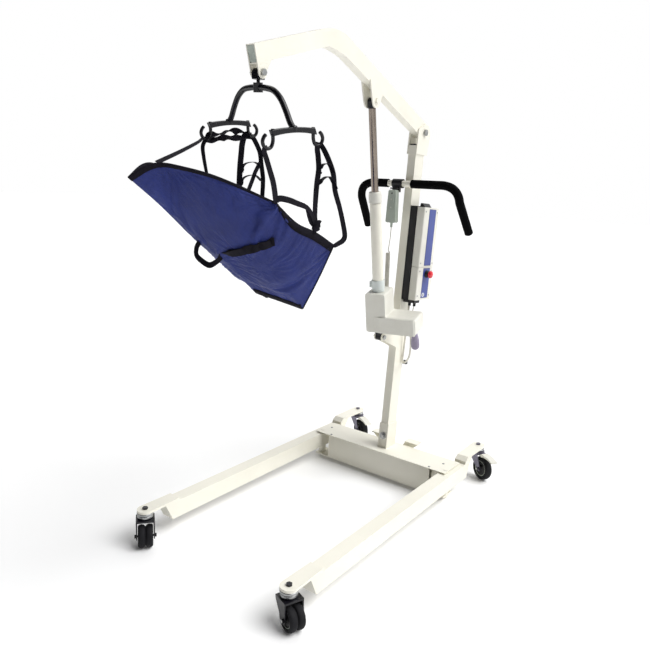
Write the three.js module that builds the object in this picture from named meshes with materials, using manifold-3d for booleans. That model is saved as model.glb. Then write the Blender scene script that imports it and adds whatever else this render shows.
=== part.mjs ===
// Patient lift hoist: a floor lift with spreading legs, a powered boom, a four-point cradle and a sling.
// Millimetres, +Z up. Origin on the floor under the middle of the lift; the front of the legs is towards -Y.
import * as THREE from 'three';
import { mergeVertices } from 'three/addons/utils/BufferGeometryUtils.js';
import Module from 'manifold-3d';

const wasm = await Module();
wasm.setup();

// ---- Driving dimensions -----------------------------------------------------------------------
const GAP = 0.3; // between pieces that touch
const CENTRE_X = 35.6; // from the plane of the mast to the middle of the outline, which the rear brakes widen

const CASTER_X = 314;
const FRONT_CASTER_Y = -550;
const REAR_CASTER_Y = 715;
const LEG = { width: 50, top: 114, bottom: 52, front: -484, rear: 581, wall: 3 };
const TONGUE = { halfWidth: 27, thickness: 8, top: 122, rearTop: 140 };
const LEG_PIVOT = { x: 306, y: 425, radius: 10 };
const LINK_CRANK = 34;

const BEAM = { halfLength: 250, front: 393, rear: 523, bottom: 14, top: 117.5, wall: 3 };
const BEAM_END = { front: 416, rear: 491 };
const TAB = { halfLength: 320, rear: 466, thickness: 5 };
const COVER = { halfLength: 318, front: 391, rear: 525, thickness: 3 };
const BASE_TOP = BEAM.top + GAP + COVER.thickness;

const MAST = { halfWidth: 17, depth: 66, front: 438, length: 1246, wall: 3, lean: 0.055 };
const SOCKET = { wall: 4, height: 108, boltHeight: 54 };
const HEAD = { bottom: 1218, web: 1252, top: 1338, plate: 4, front: -4.5, rear: 88 };

const BOOM_PIVOT = { y: 557, z: 1422, radius: 8 };
const BOOM = { halfWidth: 16.5, wall: 3, frontSlope: 0.325, rearSlope: -0.382 };
const NOSE_BOLT = { y: -386, z: 1500, radius: 6 };
const BOOM_LUG = { y: 195, z: 1497, halfGap: 15, plate: 5 };

const ACTUATOR_BASE = { y: 357, z: 622, radius: 6 };
const GEARBOX = { halfWidth: 40, front: -42, rear: 62, bottom: 33, top: 191, wall: 3, yaw: 0.21 };
const MOTOR = { reach: 160, top: 99, proud: 5 };
const KNOB = { x: 146, y: 0, radius: 16, bottom: -38 };
const TUBE = { radius: 21, wall: 3, bottom: 246, top: 534 };
const ROD = { radius: 13, wall: 3.5, bottom: 462 };
const ROD_LENGTH = Math.hypot(ACTUATOR_BASE.y - BOOM_LUG.y, BOOM_LUG.z - ACTUATOR_BASE.z);
const ACTUATOR_LEAN = Math.atan2(ACTUATOR_BASE.y - BOOM_LUG.y, BOOM_LUG.z - ACTUATOR_BASE.z);

const HANDLE = { y: 484, z: 1222, radius: 12.5, halfSpan: 235, endY: 584, endZ: 1045 };
const GRIP = { radius: 16.5, rightStart: 20, leftStart: -85 };
const HANDSET = { x: -42, y: 455, top: 1197, bottom: 1068, width: 44, depth: 24 };

const DOCK = { inner: 17.3, outer: 48, bottom: 644, top: 1020, depth: 118 };
const CASE = { outer: 82, depth: 124, split: 780 };

const FRONT_WHEEL = { radius: 37.5, width: 23, trail: 25, axleRadius: 4 };
const REAR_WHEEL = { radius: 50, width: 32, trail: 42, axleRadius: 5 };

const CRADLE = { z: 1461, yaw: -0.276, pitch: 0.12, roll: 0.094, halfSpan: 172, drop: 106, halfBar: 73 };
const SLING = { thickness: 5 };

// ---- Materials --------------------------------------------------------------------------------
const finish = (color, roughness, metalness) => new THREE.MeshStandardMaterial({ color, roughness, metalness });
const ivory = finish(0xefece0, 0.45, 0.1);
const blackPaint = finish(0x17171b, 0.4, 0.2);
const blackPlastic = finish(0x1a1a1d, 0.6, 0);
const ivoryPlastic = finish(0xe6e4da, 0.5, 0);
const greyPlastic = finish(0xaab3ab, 0.5, 0);
const lilacPlastic = finish(0x8a8296, 0.5, 0);
const rubber = finish(0x202024, 0.85, 0);
const foam = finish(0x121214, 0.95, 0);
const chrome = finish(0xc4bdb6, 0.15, 1);
const zinc = finish(0x9a9d9c, 0.35, 0.9);
const red = finish(0xe8142a, 0.35, 0);
const nylon = finish(0x3a4585, 0.8, 0);
const webbing = finish(0x23202e, 0.9, 0);

// ---- Geometry helpers -------------------------------------------------------------------------
const box = (x0, x1, y0, y1, z0, z1) =>
  new THREE.BoxGeometry(x1 - x0, y1 - y0, z1 - z0).translate((x0 + x1) / 2, (y0 + y1) / 2, (z0 + z1) / 2);

// A cylinder between two heights on the Z axis.
const rodZ = (radius, z0, z1, sides = 24) =>
  new THREE.CylinderGeometry(radius, radius, z1 - z0, sides).rotateX(Math.PI / 2).translate(0, 0, (z0 + z1) / 2);
const rodX = (radius, x0, x1, sides = 24) => rodZ(radius, x0, x1, sides).rotateY(Math.PI / 2);
const rodY = (radius, y0, y1, sides = 24) => rodZ(radius, -y1, -y0, sides).rotateX(Math.PI / 2);

// A solid of revolution about the Z axis from [radius, height] pairs.
const lathe = (profile, sides = 28) =>
  new THREE.LatheGeometry(profile.map(([r, z]) => new THREE.Vector2(r, z)), sides).rotateX(Math.PI / 2);

const ring = (outer, inner, z0, z1, sides = 28) =>
  lathe([[inner, z0], [outer, z0], [outer, z1], [inner, z1], [inner, z0]], sides);

const shapeOf = (points) => new THREE.Shape(points.map(([a, b]) => new THREE.Vector2(a, b)));

// A flat outline in one plane, pulled through a distance along the third axis.
const pull = (shape, length, curveSegments = 6) =>
  new THREE.ExtrudeGeometry(shape, { depth: length, bevelEnabled: false, curveSegments, steps: 1 });
const plateXY = (shape, z0, z1, segments) => pull(shape, z1 - z0, segments).translate(0, 0, z0);
// The outline's two numbers are Y and Z, and it is pulled along X.
const plateYZ = (shape, x0, x1, segments) =>
  pull(shape, x1 - x0, segments).rotateZ(Math.PI / 2).rotateY(Math.PI / 2).translate(x0, 0, 0);
// The outline's two numbers are X and Z, and it is pulled along Y.
const plateXZ = (shape, y0, y1, segments) =>
  pull(shape, y1 - y0, segments).rotateX(Math.PI / 2).translate(0, y1, 0);

function roundedRect(x0, x1, y0, y1, r) {
  const s = new THREE.Shape();
  s.moveTo(x0 + r, y0);
  s.lineTo(x1 - r, y0);
  s.quadraticCurveTo(x1, y0, x1, y0 + r);
  s.lineTo(x1, y1 - r);
  s.quadraticCurveTo(x1, y1, x1 - r, y1);
  s.lineTo(x0 + r, y1);
  s.quadraticCurveTo(x0, y1, x0, y1 - r);
  s.lineTo(x0, y0 + r);
  s.quadraticCurveTo(x0, y0, x0 + r, y0);
  return s;
}

const circle = (r, sides, x = 0, y = 0) => {
  const points = [];
  for (let i = 0; i < sides; i++) {
    const a = (2 * Math.PI * i) / sides;
    points.push([x + r * Math.cos(a), y + r * Math.sin(a)]);
  }
  return shapeOf(points);
};

// A round bar along a smooth curve.
const bar = (curve, radius, sides = 12, steps = 24) =>
  new THREE.ExtrudeGeometry(circle(radius, sides), { extrudePath: curve, steps, bevelEnabled: false });

const vector = ([x, y, z]) => new THREE.Vector3(x, y, z);
const smooth = (points) => new THREE.CatmullRomCurve3(points.map(vector), false, 'centripetal');

function toManifold(geometry) {
  const plain = new THREE.BufferGeometry();
  plain.setAttribute('position', geometry.getAttribute('position').clone());
  if (geometry.index) plain.setIndex(geometry.index.clone());
  const merged = mergeVertices(plain, 1e-4);
  const vertProperties = new Float32Array(merged.getAttribute('position').array);
  const triVerts = new Uint32Array(merged.index.array);
  return new wasm.Manifold(new wasm.Mesh({ numProp: 3, vertProperties, triVerts }));
}

function fromManifold(solid) {
  const mesh = solid.getMesh();
  const geometry = new THREE.BufferGeometry();
  geometry.setAttribute('position', new THREE.BufferAttribute(new Float32Array(mesh.vertProperties), 3));
  geometry.setIndex(new THREE.BufferAttribute(new Uint32Array(mesh.triVerts), 1));
  geometry.computeVertexNormals();
  return geometry;
}

function join(...geometries) {
  return fromManifold(geometries.map(toManifold).reduce((a, b) => a.add(b)));
}

function cut(geometry, ...tools) {
  return fromManifold(tools.map(toManifold).reduce((a, b) => a.subtract(b), toManifold(geometry)));
}

// ---- Scene graph ------------------------------------------------------------------------------
const hoist = new THREE.Group();

function add(name, geometry, material, group = hoist) {
  const mesh = new THREE.Mesh(geometry, material);
  mesh.name = name;
  group.add(mesh);
  return mesh;
}

function subgroup(x, y, z, order = 'XYZ', parent = hoist) {
  const group = new THREE.Group();
  group.position.set(x, y, z);
  group.rotation.order = order;
  parent.add(group);
  return group;
}

// ---- Base: cross beam, cover, lower plate, leg pivots -------------------------------------------
function makeBase() {
  const { halfLength, front, rear, bottom, top, wall } = BEAM;
  const outer = box(-halfLength, halfLength, front, rear, bottom, top);
  const inner = box(-halfLength - 1, halfLength + 1, front + wall, rear - wall, bottom + wall, top - wall);
  const shaftHole = rodY(PEDAL.shaft + 0.5, rear - 10, rear + 10).translate(0, 0, PEDAL.z);

  const coverZ = top + GAP;
  const hole = (s) => rodZ(LEG_PIVOT.radius + 0.4, 0, 200).translate(s * LEG_PIVOT.x, LEG_PIVOT.y, 0);
  const sheet = box(-COVER.halfLength, COVER.halfLength, COVER.front, COVER.rear, coverZ, coverZ + COVER.thickness);
  add('base_cover', cut(sheet, hole(-1), hole(1)), ivory);

  // the bottom plate runs out under each leg to hold the foot of its pivot pin
  const tabs = box(-TAB.halfLength, TAB.halfLength, front, TAB.rear, bottom, bottom + TAB.thickness);
  // each end is closed but for a slot at the front and a slot at the rear, where the spreader's rods come out
  const ends = [-1, 1].map((s) => {
    const edges = [s * halfLength, s * (halfLength - wall)];
    return box(Math.min(...edges), Math.max(...edges), BEAM_END.front, BEAM_END.rear, bottom, top);
  });
  add('cross_beam', cut(join(cut(outer, inner), tabs, ...ends), shaftHole, hole(-1), hole(1)), ivory);

  for (const [side, s] of [['left', -1], ['right', 1]]) {
    const pin = join(
      rodZ(LEG_PIVOT.radius, bottom - 6, BASE_TOP + 1),
      rodZ(LEG_PIVOT.radius + 4, bottom - 9, bottom - GAP, 6));
    pin.translate(s * LEG_PIVOT.x, LEG_PIVOT.y, 0);
    add(`leg_pivot_pin_${side}`, pin, ivory);
  }
}

// ---- Legs ---------------------------------------------------------------------------------------
// The tube's front end is cut back towards its underside, and a flat tongue at each end holds a caster.
function makeLeg(side, s) {
  const { width, top, bottom, front, rear, wall } = LEG;
  const nose = 30;
  const tail = 24;
  const outline = shapeOf([[front, top], [front + nose, bottom], [rear - tail, bottom], [rear, top]]);
  const hollow = shapeOf([[front + 8, top - wall], [front + nose + 4, bottom + wall], [rear + 40, bottom + wall],
    [rear + 40, top - wall]]);
  const tube = cut(plateYZ(outline, -width / 2, width / 2), plateYZ(hollow, -width / 2 + wall, width / 2 - wall));

  const tongue = (endY, rootY, z) => {
    const h = TONGUE.halfWidth;
    const dir = Math.sign(endY - rootY);
    const s2 = new THREE.Shape();
    s2.moveTo(-width / 2 + 1, rootY);
    s2.lineTo(-h, endY);
    s2.absarc(0, endY, h, Math.PI, 0, dir > 0);
    s2.lineTo(width / 2 - 1, rootY);
    return plateXY(s2, z - TONGUE.thickness, z, 10);
  };
  const frontTongue = tongue(FRONT_CASTER_Y, front + 60, TONGUE.top);
  const rearTongue = tongue(REAR_CASTER_Y, rear - 10, TONGUE.rearTop);
  const stemHole = (y) => rodZ(6.5, TONGUE.top - 20, TONGUE.rearTop + 5).translate(0, y, 0);
  const riserFoot = COVER.rear + 14;
  const riser = plateYZ(shapeOf([[riserFoot, top - 8], [rear, top - 8], [rear + 22, TONGUE.rearTop - 7],
    [rear + 22, TONGUE.rearTop], [riserFoot + 22, TONGUE.rearTop], [riserFoot, TONGUE.rearTop - 14]]), -24, 24);

  const pivotX = s * (LEG_PIVOT.x - CASTER_X);
  const pivotHole = rodZ(LEG_PIVOT.radius + 0.5, 0, 200).translate(pivotX, LEG_PIVOT.y, 0);
  const sleeveFoot = BEAM.bottom + TAB.thickness + GAP;
  const sleeve = rodZ(LEG_PIVOT.radius + 5, sleeveFoot, top - 1).translate(pivotX, LEG_PIVOT.y, 0);

  let leg = join(tube, frontTongue, rearTongue, riser, sleeve);
  leg = cut(leg, stemHole(FRONT_CASTER_Y), stemHole(REAR_CASTER_Y), pivotHole);
  leg.translate(s * CASTER_X, 0, 0);
  add(`leg_${side}`, leg, ivory);
}

// ---- Leg spreader pedal -----------------------------------------------------------------------
const PEDAL = { z: 84, shaft: 7, y: 548, reach: 84, rise: 52 };

function makeSpreader() {
  const { z, shaft, y, reach, rise } = PEDAL;
  const wing = shapeOf([[-reach - 28, rise], [-reach + 26, rise], [-34, 20], [34, 20], [reach - 26, rise],
    [reach + 28, rise], [reach + 28, rise - 8], [44, -10], [-44, -10], [-reach - 28, rise - 8]]);
  const treads = [-1, 1].map((s) =>
    box(s * reach - 30, s * reach + 30, y - 16, y + 26, rise - 5, rise));
  const parts = [plateXZ(wing, y - 6, y + 6), rodY(16, y - 12, y + 12, 20), rodY(shaft, BEAM.rear - 40, y, 16)];
  const crank = box(-LINK_CRANK, LINK_CRANK, BEAM.rear - 40, BEAM.rear - 32, -10, 10);
  add('spreader_pedal', join(...parts, ...treads, crank).translate(0, 0, z), ivory);
}

// ---- Casters --------------------------------------------------------------------------------------
const tyreProfile = (R, w, hub) => [
  [hub, -w / 2], [R * 0.66, -w / 2], [R * 0.72, -w / 2 + 2], [R * 0.92, -w / 2 + 1], [R, -w / 4],
  [R, w / 4], [R * 0.92, w / 2 - 1], [R * 0.72, w / 2 - 2], [R * 0.66, w / 2], [hub, w / 2], [hub, -w / 2]];

// Each caster is built with its swivel axis on Z and its wheels trailing towards +X.
function makeFrontCaster(name, x, heading) {
  const group = subgroup(x, FRONT_CASTER_Y, 0);
  group.rotation.z = heading;
  const { radius, width, trail, axleRadius } = FRONT_WHEEL;
  const neckTop = TONGUE.top - TONGUE.thickness - GAP;
  const outerY = width + 3.5;
  const cheek = shapeOf([[-22, 92], [30, 92], [trail + 12, radius - 4], [trail + 6, radius - 11],
    [trail - 6, radius - 11], [trail - 12, radius - 4], [-20, 80]]);
  let fork = join(
    plateXZ(cheek, -outerY - 4, -outerY),
    plateXZ(cheek, outerY, outerY + 4),
    box(-22, 32, -outerY - 4, outerY + 4, 86, 92),
    rodZ(25, 91, 100, 28),
    rodZ(21, 99, neckTop, 28));
  fork = join(fork, rodZ(6, neckTop - 2, TONGUE.top + 2, 16), rodZ(9.5, TONGUE.top + GAP, TONGUE.top + 6, 6));
  const axle = join(
    rodY(axleRadius, -outerY - 8, outerY + 8, 16),
    rodY(7, -outerY - 9, -outerY - 3, 6),
    rodY(7, outerY + 3, outerY + 9, 6));
  add(`${name}_fork`, join(fork, axle.translate(trail, 0, radius)), blackPaint, group);
  const pair = [-1, 1].map((s) =>
    lathe(tyreProfile(radius, width, axleRadius + GAP), 24).translate(0, 0, s * (width / 2 + 1.5)));
  const hub = ring(12, axleRadius + GAP, -4, 4, 24);
  const wheels = join(...pair, hub).rotateX(Math.PI / 2).translate(trail, 0, radius);
  add(`${name}_wheels`, wheels, rubber, group);
}

function makeRearCaster(name, x, heading) {
  const group = subgroup(x, REAR_CASTER_Y, 0);
  group.rotation.z = heading;
  const { radius, width, trail, axleRadius } = REAR_WHEEL;
  const neckTop = TONGUE.rearTop - TONGUE.thickness - GAP;
  const outerY = width / 2 + 4;
  const cheek = shapeOf([[-26, 106], [26, 106], [trail + 12, radius + 6], [trail + 8, radius - 10],
    [trail - 8, radius - 10], [trail - 15, radius + 4], [-24, 94]]);
  let fork = join(
    plateXZ(cheek, -outerY - 3, -outerY),
    plateXZ(cheek, outerY, outerY + 3),
    box(-26, 26, -outerY - 3, outerY + 3, 103, 107),
    rodZ(29, 106, 114, 28),
    rodZ(24, 113, neckTop, 28));
  fork = join(fork, rodZ(6, neckTop - 2, TONGUE.rearTop + 2, 16),
    rodZ(9.5, TONGUE.rearTop + GAP, TONGUE.rearTop + 6, 6));
  const axle = join(
    rodY(axleRadius, -outerY - 7, outerY + 7, 16),
    rodY(8, -outerY - 8, -outerY - 2, 6),
    rodY(8, outerY + 2, outerY + 8, 6));
  add(`${name}_fork`, join(fork, axle.translate(trail, 0, radius)), zinc, group);
  const wheel = lathe(tyreProfile(radius, width, axleRadius + GAP), 28).rotateX(Math.PI / 2);
  add(`${name}_wheel`, wheel.translate(trail, 0, radius), rubber, group);

  // The brake pedal hangs on the fork's top edge and its shoe presses on the tread.
  const arm = shapeOf([[34, 108], [46, 116], [88, 112], [112, 104], [114, 99], [88, 105], [60, 106], [44, 101]]);
  add(`${name}_brake`, plateXZ(arm, -15, 15), ivoryPlastic, group);
}

// ---- Mast -----------------------------------------------------------------------------------------
// Mast group: local Y runs from the tube's front face backwards, local Z along the tube.
const mast = subgroup(0, MAST.front, BASE_TOP);
mast.rotation.x = -MAST.lean;

function makeMast() {
  const { halfWidth: w, depth, length, wall } = MAST;
  const tube = cut(
    box(-w, w, 0, depth, 5, length),
    box(-w + wall, w - wall, wall, depth - wall, -5, length + 5));
  const bolt = rodY(6.4, -20, depth + 20, 16).translate(0, 0, SOCKET.boltHeight);
  add('mast_tube', cut(tube, bolt), ivory, mast);

  const t = SOCKET.wall;
  // the socket's foot is cut level with the cover it is welded to
  const foot = box(-100, 100, -100, 200, -40, 0).rotateX(MAST.lean).translate(0, 0, GAP);
  const sleeve = cut(
    box(-w - t, w + t, -t, depth + t, -8, SOCKET.height),
    box(-w - GAP, w + GAP, -GAP, depth + GAP, -20, SOCKET.height + 5),
    foot, rodY(6.4, -20, depth + 20, 16).translate(0, 0, SOCKET.boltHeight));
  add('mast_socket', sleeve, ivory, mast);

  const bolted = join(
    rodY(6, -t - 6, depth + t + 6, 16),
    rodY(15, -t - 3, -t - GAP, 24),
    rodY(10, -t - 11, -t - 2.5, 6),
    rodY(10, depth + t + GAP, depth + t + 9, 6));
  add('mast_bolt', bolted.translate(0, 0, SOCKET.boltHeight), zinc, mast);
}

function makeHead() {
  const { bottom, web, top, plate, front, rear } = HEAD;
  const inner = MAST.halfWidth + GAP;
  const side = new THREE.Shape();
  side.moveTo(front, bottom);
  side.lineTo(rear - 4, bottom + 4);
  side.lineTo(rear + 4, top - 36);
  side.absarc(rear - 32, top - 36, 36, 0, Math.PI * 0.62, false);
  side.lineTo(front + 3, top - 24);
  const pivotLocal = mastLocal(BOOM_PIVOT.y, BOOM_PIVOT.z);
  const hole = rodX(BOOM_PIVOT.radius + GAP, -60, 60).translate(0, pivotLocal[0], pivotLocal[1]);
  const bracket = cut(join(
    plateYZ(side, -inner - plate, -inner),
    plateYZ(side, inner, inner + plate),
    box(-inner - plate, inner + plate, front, front + plate, bottom, web)), hole);
  add('mast_head_bracket', bracket, ivory, mast);

  const pin = join(
    rodX(BOOM_PIVOT.radius, -inner - plate - 6, inner + plate + 6, 20),
    rodX(13, -inner - plate - 8, -inner - plate - GAP, 6),
    rodX(13, inner + plate + GAP, inner + plate + 8, 6));
  add('boom_pivot_pin', pin.translate(0, pivotLocal[0], pivotLocal[1]), zinc, mast);
}

// World (y, z) to the mast group's own (y, z).
function mastLocal(y, z) {
  const dy = y - MAST.front;
  const dz = z - BASE_TOP;
  const c = Math.cos(MAST.lean);
  const s = Math.sin(MAST.lean);
  return [dy * c - dz * s, dy * s + dz * c];
}

// ---- Boom -----------------------------------------------------------------------------------------
const topFront = (y) => 1568 + BOOM.frontSlope * (y + 422);
const topRear = (y) => 1474 + BOOM.rearSlope * (y - 524);

// The bent tube's outline, drawn inset by a wall thickness for its bore.
function boomOutline(inset, overrun) {
  const frontDrop = 53.5 - inset / Math.cos(0.314);
  const rearDrop = 62.5 - inset / Math.cos(0.365);
  const up = inset / Math.cos(0.314);
  const noseTop = -422 - overrun;
  const noseBottom = -405 - overrun;
  const rearY = 574 + overrun;
  const s = new THREE.Shape();
  s.moveTo(noseTop, topFront(noseTop) - up);
  s.lineTo(-114, topFront(-114) - up);
  s.quadraticCurveTo(-44, topFront(-44) - up, 25, topRear(25) - up);
  s.lineTo(rearY, topRear(rearY) - up);
  s.lineTo(rearY - 22, topRear(rearY - 22) - rearDrop);
  s.lineTo(10, topRear(10) - rearDrop);
  s.quadraticCurveTo(-40, topRear(-40) - rearDrop - 6, -90, topFront(-90) - frontDrop);
  s.lineTo(noseBottom, topFront(noseBottom) - frontDrop);
  return s;
}

function makeBoom() {
  const w = BOOM.halfWidth;
  const t = BOOM.wall;
  const tube = cut(plateYZ(boomOutline(0, 0), -w, w, 8), plateYZ(boomOutline(t, 30), -w + t, w - t, 8));

  // Two cheeks carry the nose bolt below the tube's front end.
  const cheek = new THREE.Shape();
  cheek.moveTo(-422, 1567);
  cheek.lineTo(-404, 1506);
  cheek.absarc(NOSE_BOLT.y, NOSE_BOLT.z, 17, Math.PI, Math.PI * 2.1, false);
  cheek.lineTo(-352, topFront(-352) - 54);
  cheek.lineTo(-352, topFront(-352) - 2);
  const noseCheeks = [-1, 1].map((s) => plateYZ(cheek, Math.min(s * (w - t), s * w), Math.max(s * (w - t), s * w)));

  const g = BOOM_LUG.halfGap;
  const lug = new THREE.Shape();
  const under = (y) => topRear(y) - 62.5;
  lug.moveTo(BOOM_LUG.y - 46, under(BOOM_LUG.y - 46) + 6);
  lug.lineTo(BOOM_LUG.y - 24, BOOM_LUG.z - 6);
  lug.absarc(BOOM_LUG.y, BOOM_LUG.z, 24, Math.PI * 1.1, Math.PI * 1.95, false);
  lug.lineTo(BOOM_LUG.y + 40, under(BOOM_LUG.y + 40) + 6);
  const lugs = [-1, 1].map((s) =>
    plateYZ(lug, Math.min(s * g, s * (g + BOOM_LUG.plate)), Math.max(s * g, s * (g + BOOM_LUG.plate)), 8));

  // a shouldered stub on the outside of each lug stands for the bolt that holds the rod's end
  const stubs = [-1, 1].map((s) =>
    rodX(9.5, Math.min(s * (g + 3), s * (g + 11)), Math.max(s * (g + 3), s * (g + 11)), 6)
      .translate(0, BOOM_LUG.y, BOOM_LUG.z));

  const hub = rodX(BOOM_PIVOT.radius + 7, -w, w, 24).translate(0, BOOM_PIVOT.y, BOOM_PIVOT.z);
  const bores = [
    rodX(BOOM_PIVOT.radius + GAP, -60, 60, 20).translate(0, BOOM_PIVOT.y, BOOM_PIVOT.z),
    rodX(NOSE_BOLT.radius + GAP, -60, 60, 16).translate(0, NOSE_BOLT.y, NOSE_BOLT.z)];
  // the bore of the tube opens downwards at the nose, where the hanger block sits
  const mouth = box(-w + t, w - t, -440, -366, 1470, 1513);
  add('boom', cut(join(tube, ...noseCheeks, ...lugs, ...stubs, hub), ...bores, mouth), ivory);

  const capOutline = shapeOf([[-421.5, 1564.5], [-405.5, 1523.8], [-399.5, 1525.8], [-415.5, 1566.4]]);
  const cap = plateYZ(capOutline, -w + t + GAP, w - t - GAP);
  add('boom_nose_cap', cap, greyPlastic);

  const bolt = join(
    rodX(NOSE_BOLT.radius, -w - 7, w + 7, 16),
    rodX(10, -w - 8, -w - GAP, 6),
    rodX(10, w + GAP, w + 8, 6));
  add('nose_bolt', bolt.translate(0, NOSE_BOLT.y, NOSE_BOLT.z), zinc);
}

// ---- Actuator -------------------------------------------------------------------------------------
// Actuator group: local Z runs from the base pin to the boom lug, local Y is backwards.
const actuator = subgroup(0, ACTUATOR_BASE.y, ACTUATOR_BASE.z);
actuator.rotation.x = ACTUATOR_LEAN;
const gearbox = subgroup(0, 0, 0, 'XYZ', actuator);
gearbox.rotation.z = GEARBOX.yaw;

function gearboxOutline(inset) {
  const { halfWidth: w, bottom, top } = GEARBOX;
  const i = inset;
  const r = 9 - i;
  const s = new THREE.Shape();
  s.moveTo(-w + i + r, bottom + i);
  s.lineTo(MOTOR.reach - i - r, bottom + i);
  s.quadraticCurveTo(MOTOR.reach - i, bottom + i, MOTOR.reach - i, bottom + i + r);
  s.lineTo(MOTOR.reach - i, MOTOR.top - i - r);
  s.quadraticCurveTo(MOTOR.reach - i, MOTOR.top - i, MOTOR.reach - i - r, MOTOR.top - i);
  s.lineTo(w + 6, MOTOR.top - i);
  s.quadraticCurveTo(w - i, MOTOR.top - i, w - i, MOTOR.top + 6);
  s.lineTo(w - i, top - i - r);
  s.quadraticCurveTo(w - i, top - i, w - i - r, top - i);
  s.lineTo(-w + i + r, top - i);
  s.quadraticCurveTo(-w + i, top - i, -w + i, top - i - r);
  s.lineTo(-w + i, bottom + i + r);
  s.quadraticCurveTo(-w + i, bottom + i, -w + i + r, bottom + i);
  return s;
}

function makeActuator() {
  const { front, rear, wall, bottom, top } = GEARBOX;
  const openings = [
    rodZ(17, top - 10, top + 10, 24),
    box(-14, 14, -15, 15, bottom - 10, bottom + 10).rotateZ(-GEARBOX.yaw),
    rodZ(7, bottom - 10, bottom + 10, 16).translate(118, 22, 0),
    rodZ(11, bottom - 10, bottom + 10, 20).translate(KNOB.x, KNOB.y, 0)];
  const shell = (y0, y1, cavity0, cavity1) =>
    cut(plateXZ(gearboxOutline(0), y0, y1, 4), plateXZ(gearboxOutline(wall), cavity0, cavity1, 4), ...openings);
  // the motor's half of the front stands proud of the column, and slopes back into it on the left
  const face = front - MOTOR.proud;
  const side = MOTOR.reach - 1;
  const bulge = shapeOf([[-12, front + 1], [16, face], [side - 5, face], [side, front], [side, front + 1]]);
  const frontShell = join(shell(front, -GAP / 2, front + wall, 1), plateXY(bulge, bottom + 1, MOTOR.top - 1));
  add('gear_cover_front', frontShell, ivoryPlastic, gearbox);
  add('gear_cover_rear', shell(GAP / 2, rear, -1, rear - wall), ivoryPlastic, gearbox);

  const { radius, bottom: tip } = KNOB;
  const knob = lathe([[0, tip], [radius - 7, tip + 1], [radius - 2, tip + 6], [radius, tip + 16], [radius - 1, 8],
    [radius - 4, 22], [radius - 7, bottom - 4], [8, bottom - 2], [8, bottom + 8], [0, bottom + 8]], 20);
  add('lowering_knob', knob.translate(KNOB.x, KNOB.y, 0), lilacPlastic, gearbox);

  const eye = cut(
    join(box(-12.5, 12.5, -13, 13, 0, bottom + 12), rodX(15, -12.5, 12.5, 24), rodZ(16, bottom + 6, top - 4, 20)),
    rodX(ACTUATOR_BASE.radius + GAP, -40, 40, 16));
  add('actuator_base_eye', eye, blackPaint, actuator);

  const tube = join(
    ring(25, TUBE.radius - TUBE.wall, top + GAP, TUBE.bottom),
    ring(TUBE.radius, TUBE.radius - TUBE.wall, TUBE.bottom - 4, TUBE.top));
  add('actuator_tube', tube, ivory, actuator);
  const cap = lathe([[ROD.radius + GAP, TUBE.top + GAP], [24, TUBE.top + GAP], [24, TUBE.top + 38],
    [22, TUBE.top + 41], [ROD.radius + GAP, TUBE.top + 41], [ROD.radius + GAP, TUBE.top + GAP]], 28);
  add('tube_collar_upper', cap, ivoryPlastic, actuator);

  const rodTop = ROD_LENGTH - 24;
  add('actuator_rod', ring(ROD.radius, ROD.radius - ROD.wall, ROD.bottom, rodTop), chrome, actuator);
  const end = cut(
    join(
      rodZ(ROD.radius + 2, rodTop + GAP, rodTop + 10, 24),
      box(-9.5, 9.5, -12, 12, rodTop + 6, ROD_LENGTH),
      rodX(12, -9.5, 9.5, 20).translate(0, 0, ROD_LENGTH)),
    rodX(6.3, -40, 40, 16).translate(0, 0, ROD_LENGTH));
  add('rod_end', end, blackPaint, actuator);
}

// The bracket on the mast's front face that carries the actuator's base pin.
function makeActuatorBracket() {
  const mastFront = (z) => MAST.front + (z - BASE_TOP) * Math.tan(MAST.lean);
  const { y, z, radius } = ACTUATOR_BASE;
  const side = new THREE.Shape();
  side.moveTo(mastFront(562) - GAP, 562);
  side.lineTo(mastFront(622) - GAP, 622);
  side.lineTo(y + 14, z + 13);
  side.absarc(y, z, 16, Math.PI * 0.35, Math.PI * 1.6, false);
  const web = shapeOf([[mastFront(562) - GAP, 562], [mastFront(622) - GAP, 622],
    [mastFront(622) - 5, 622], [mastFront(562) - 5, 562]]);
  const bracket = cut(
    join(plateYZ(side, -17.5, -13.5), plateYZ(side, 13.5, 17.5), plateYZ(web, -17.5, 17.5)),
    rodX(radius + GAP, -40, 40, 16).translate(0, y, z));
  add('actuator_bracket', bracket, ivory);
  const pin = join(rodX(radius, -23, 23, 16), rodX(9.5, -24, -17.5 - GAP, 6), rodX(9.5, 17.5 + GAP, 24, 6));
  add('actuator_base_pin', pin.translate(0, y, z), zinc);
}

// ---- Push handle ------------------------------------------------------------------------------------
const BEND = { x: 140, drop: 62, back: 18 };

// One side of the handle, from x0 out to the end of its arm and a little past it.
function handleCurve(x0, side, past = 0) {
  const path = new THREE.CurvePath();
  const start = new THREE.Vector3(x0, HANDLE.y, HANDLE.z);
  const straightEnd = new THREE.Vector3(side * BEND.x, HANDLE.y, HANDLE.z);
  const corner = new THREE.Vector3(side * (HANDLE.halfSpan - 14), HANDLE.y - 4, HANDLE.z + 3);
  const armTop = new THREE.Vector3(side * (HANDLE.halfSpan - 12), HANDLE.y + BEND.back, HANDLE.z - BEND.drop);
  const armEnd = new THREE.Vector3(side * HANDLE.halfSpan, HANDLE.endY, HANDLE.endZ);
  const down = armEnd.clone().sub(armTop).normalize();
  path.add(new THREE.LineCurve3(start, straightEnd));
  path.add(new THREE.QuadraticBezierCurve3(straightEnd, corner, armTop));
  path.add(new THREE.LineCurve3(armTop, armEnd.addScaledVector(down, past)));
  return path;
}

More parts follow.
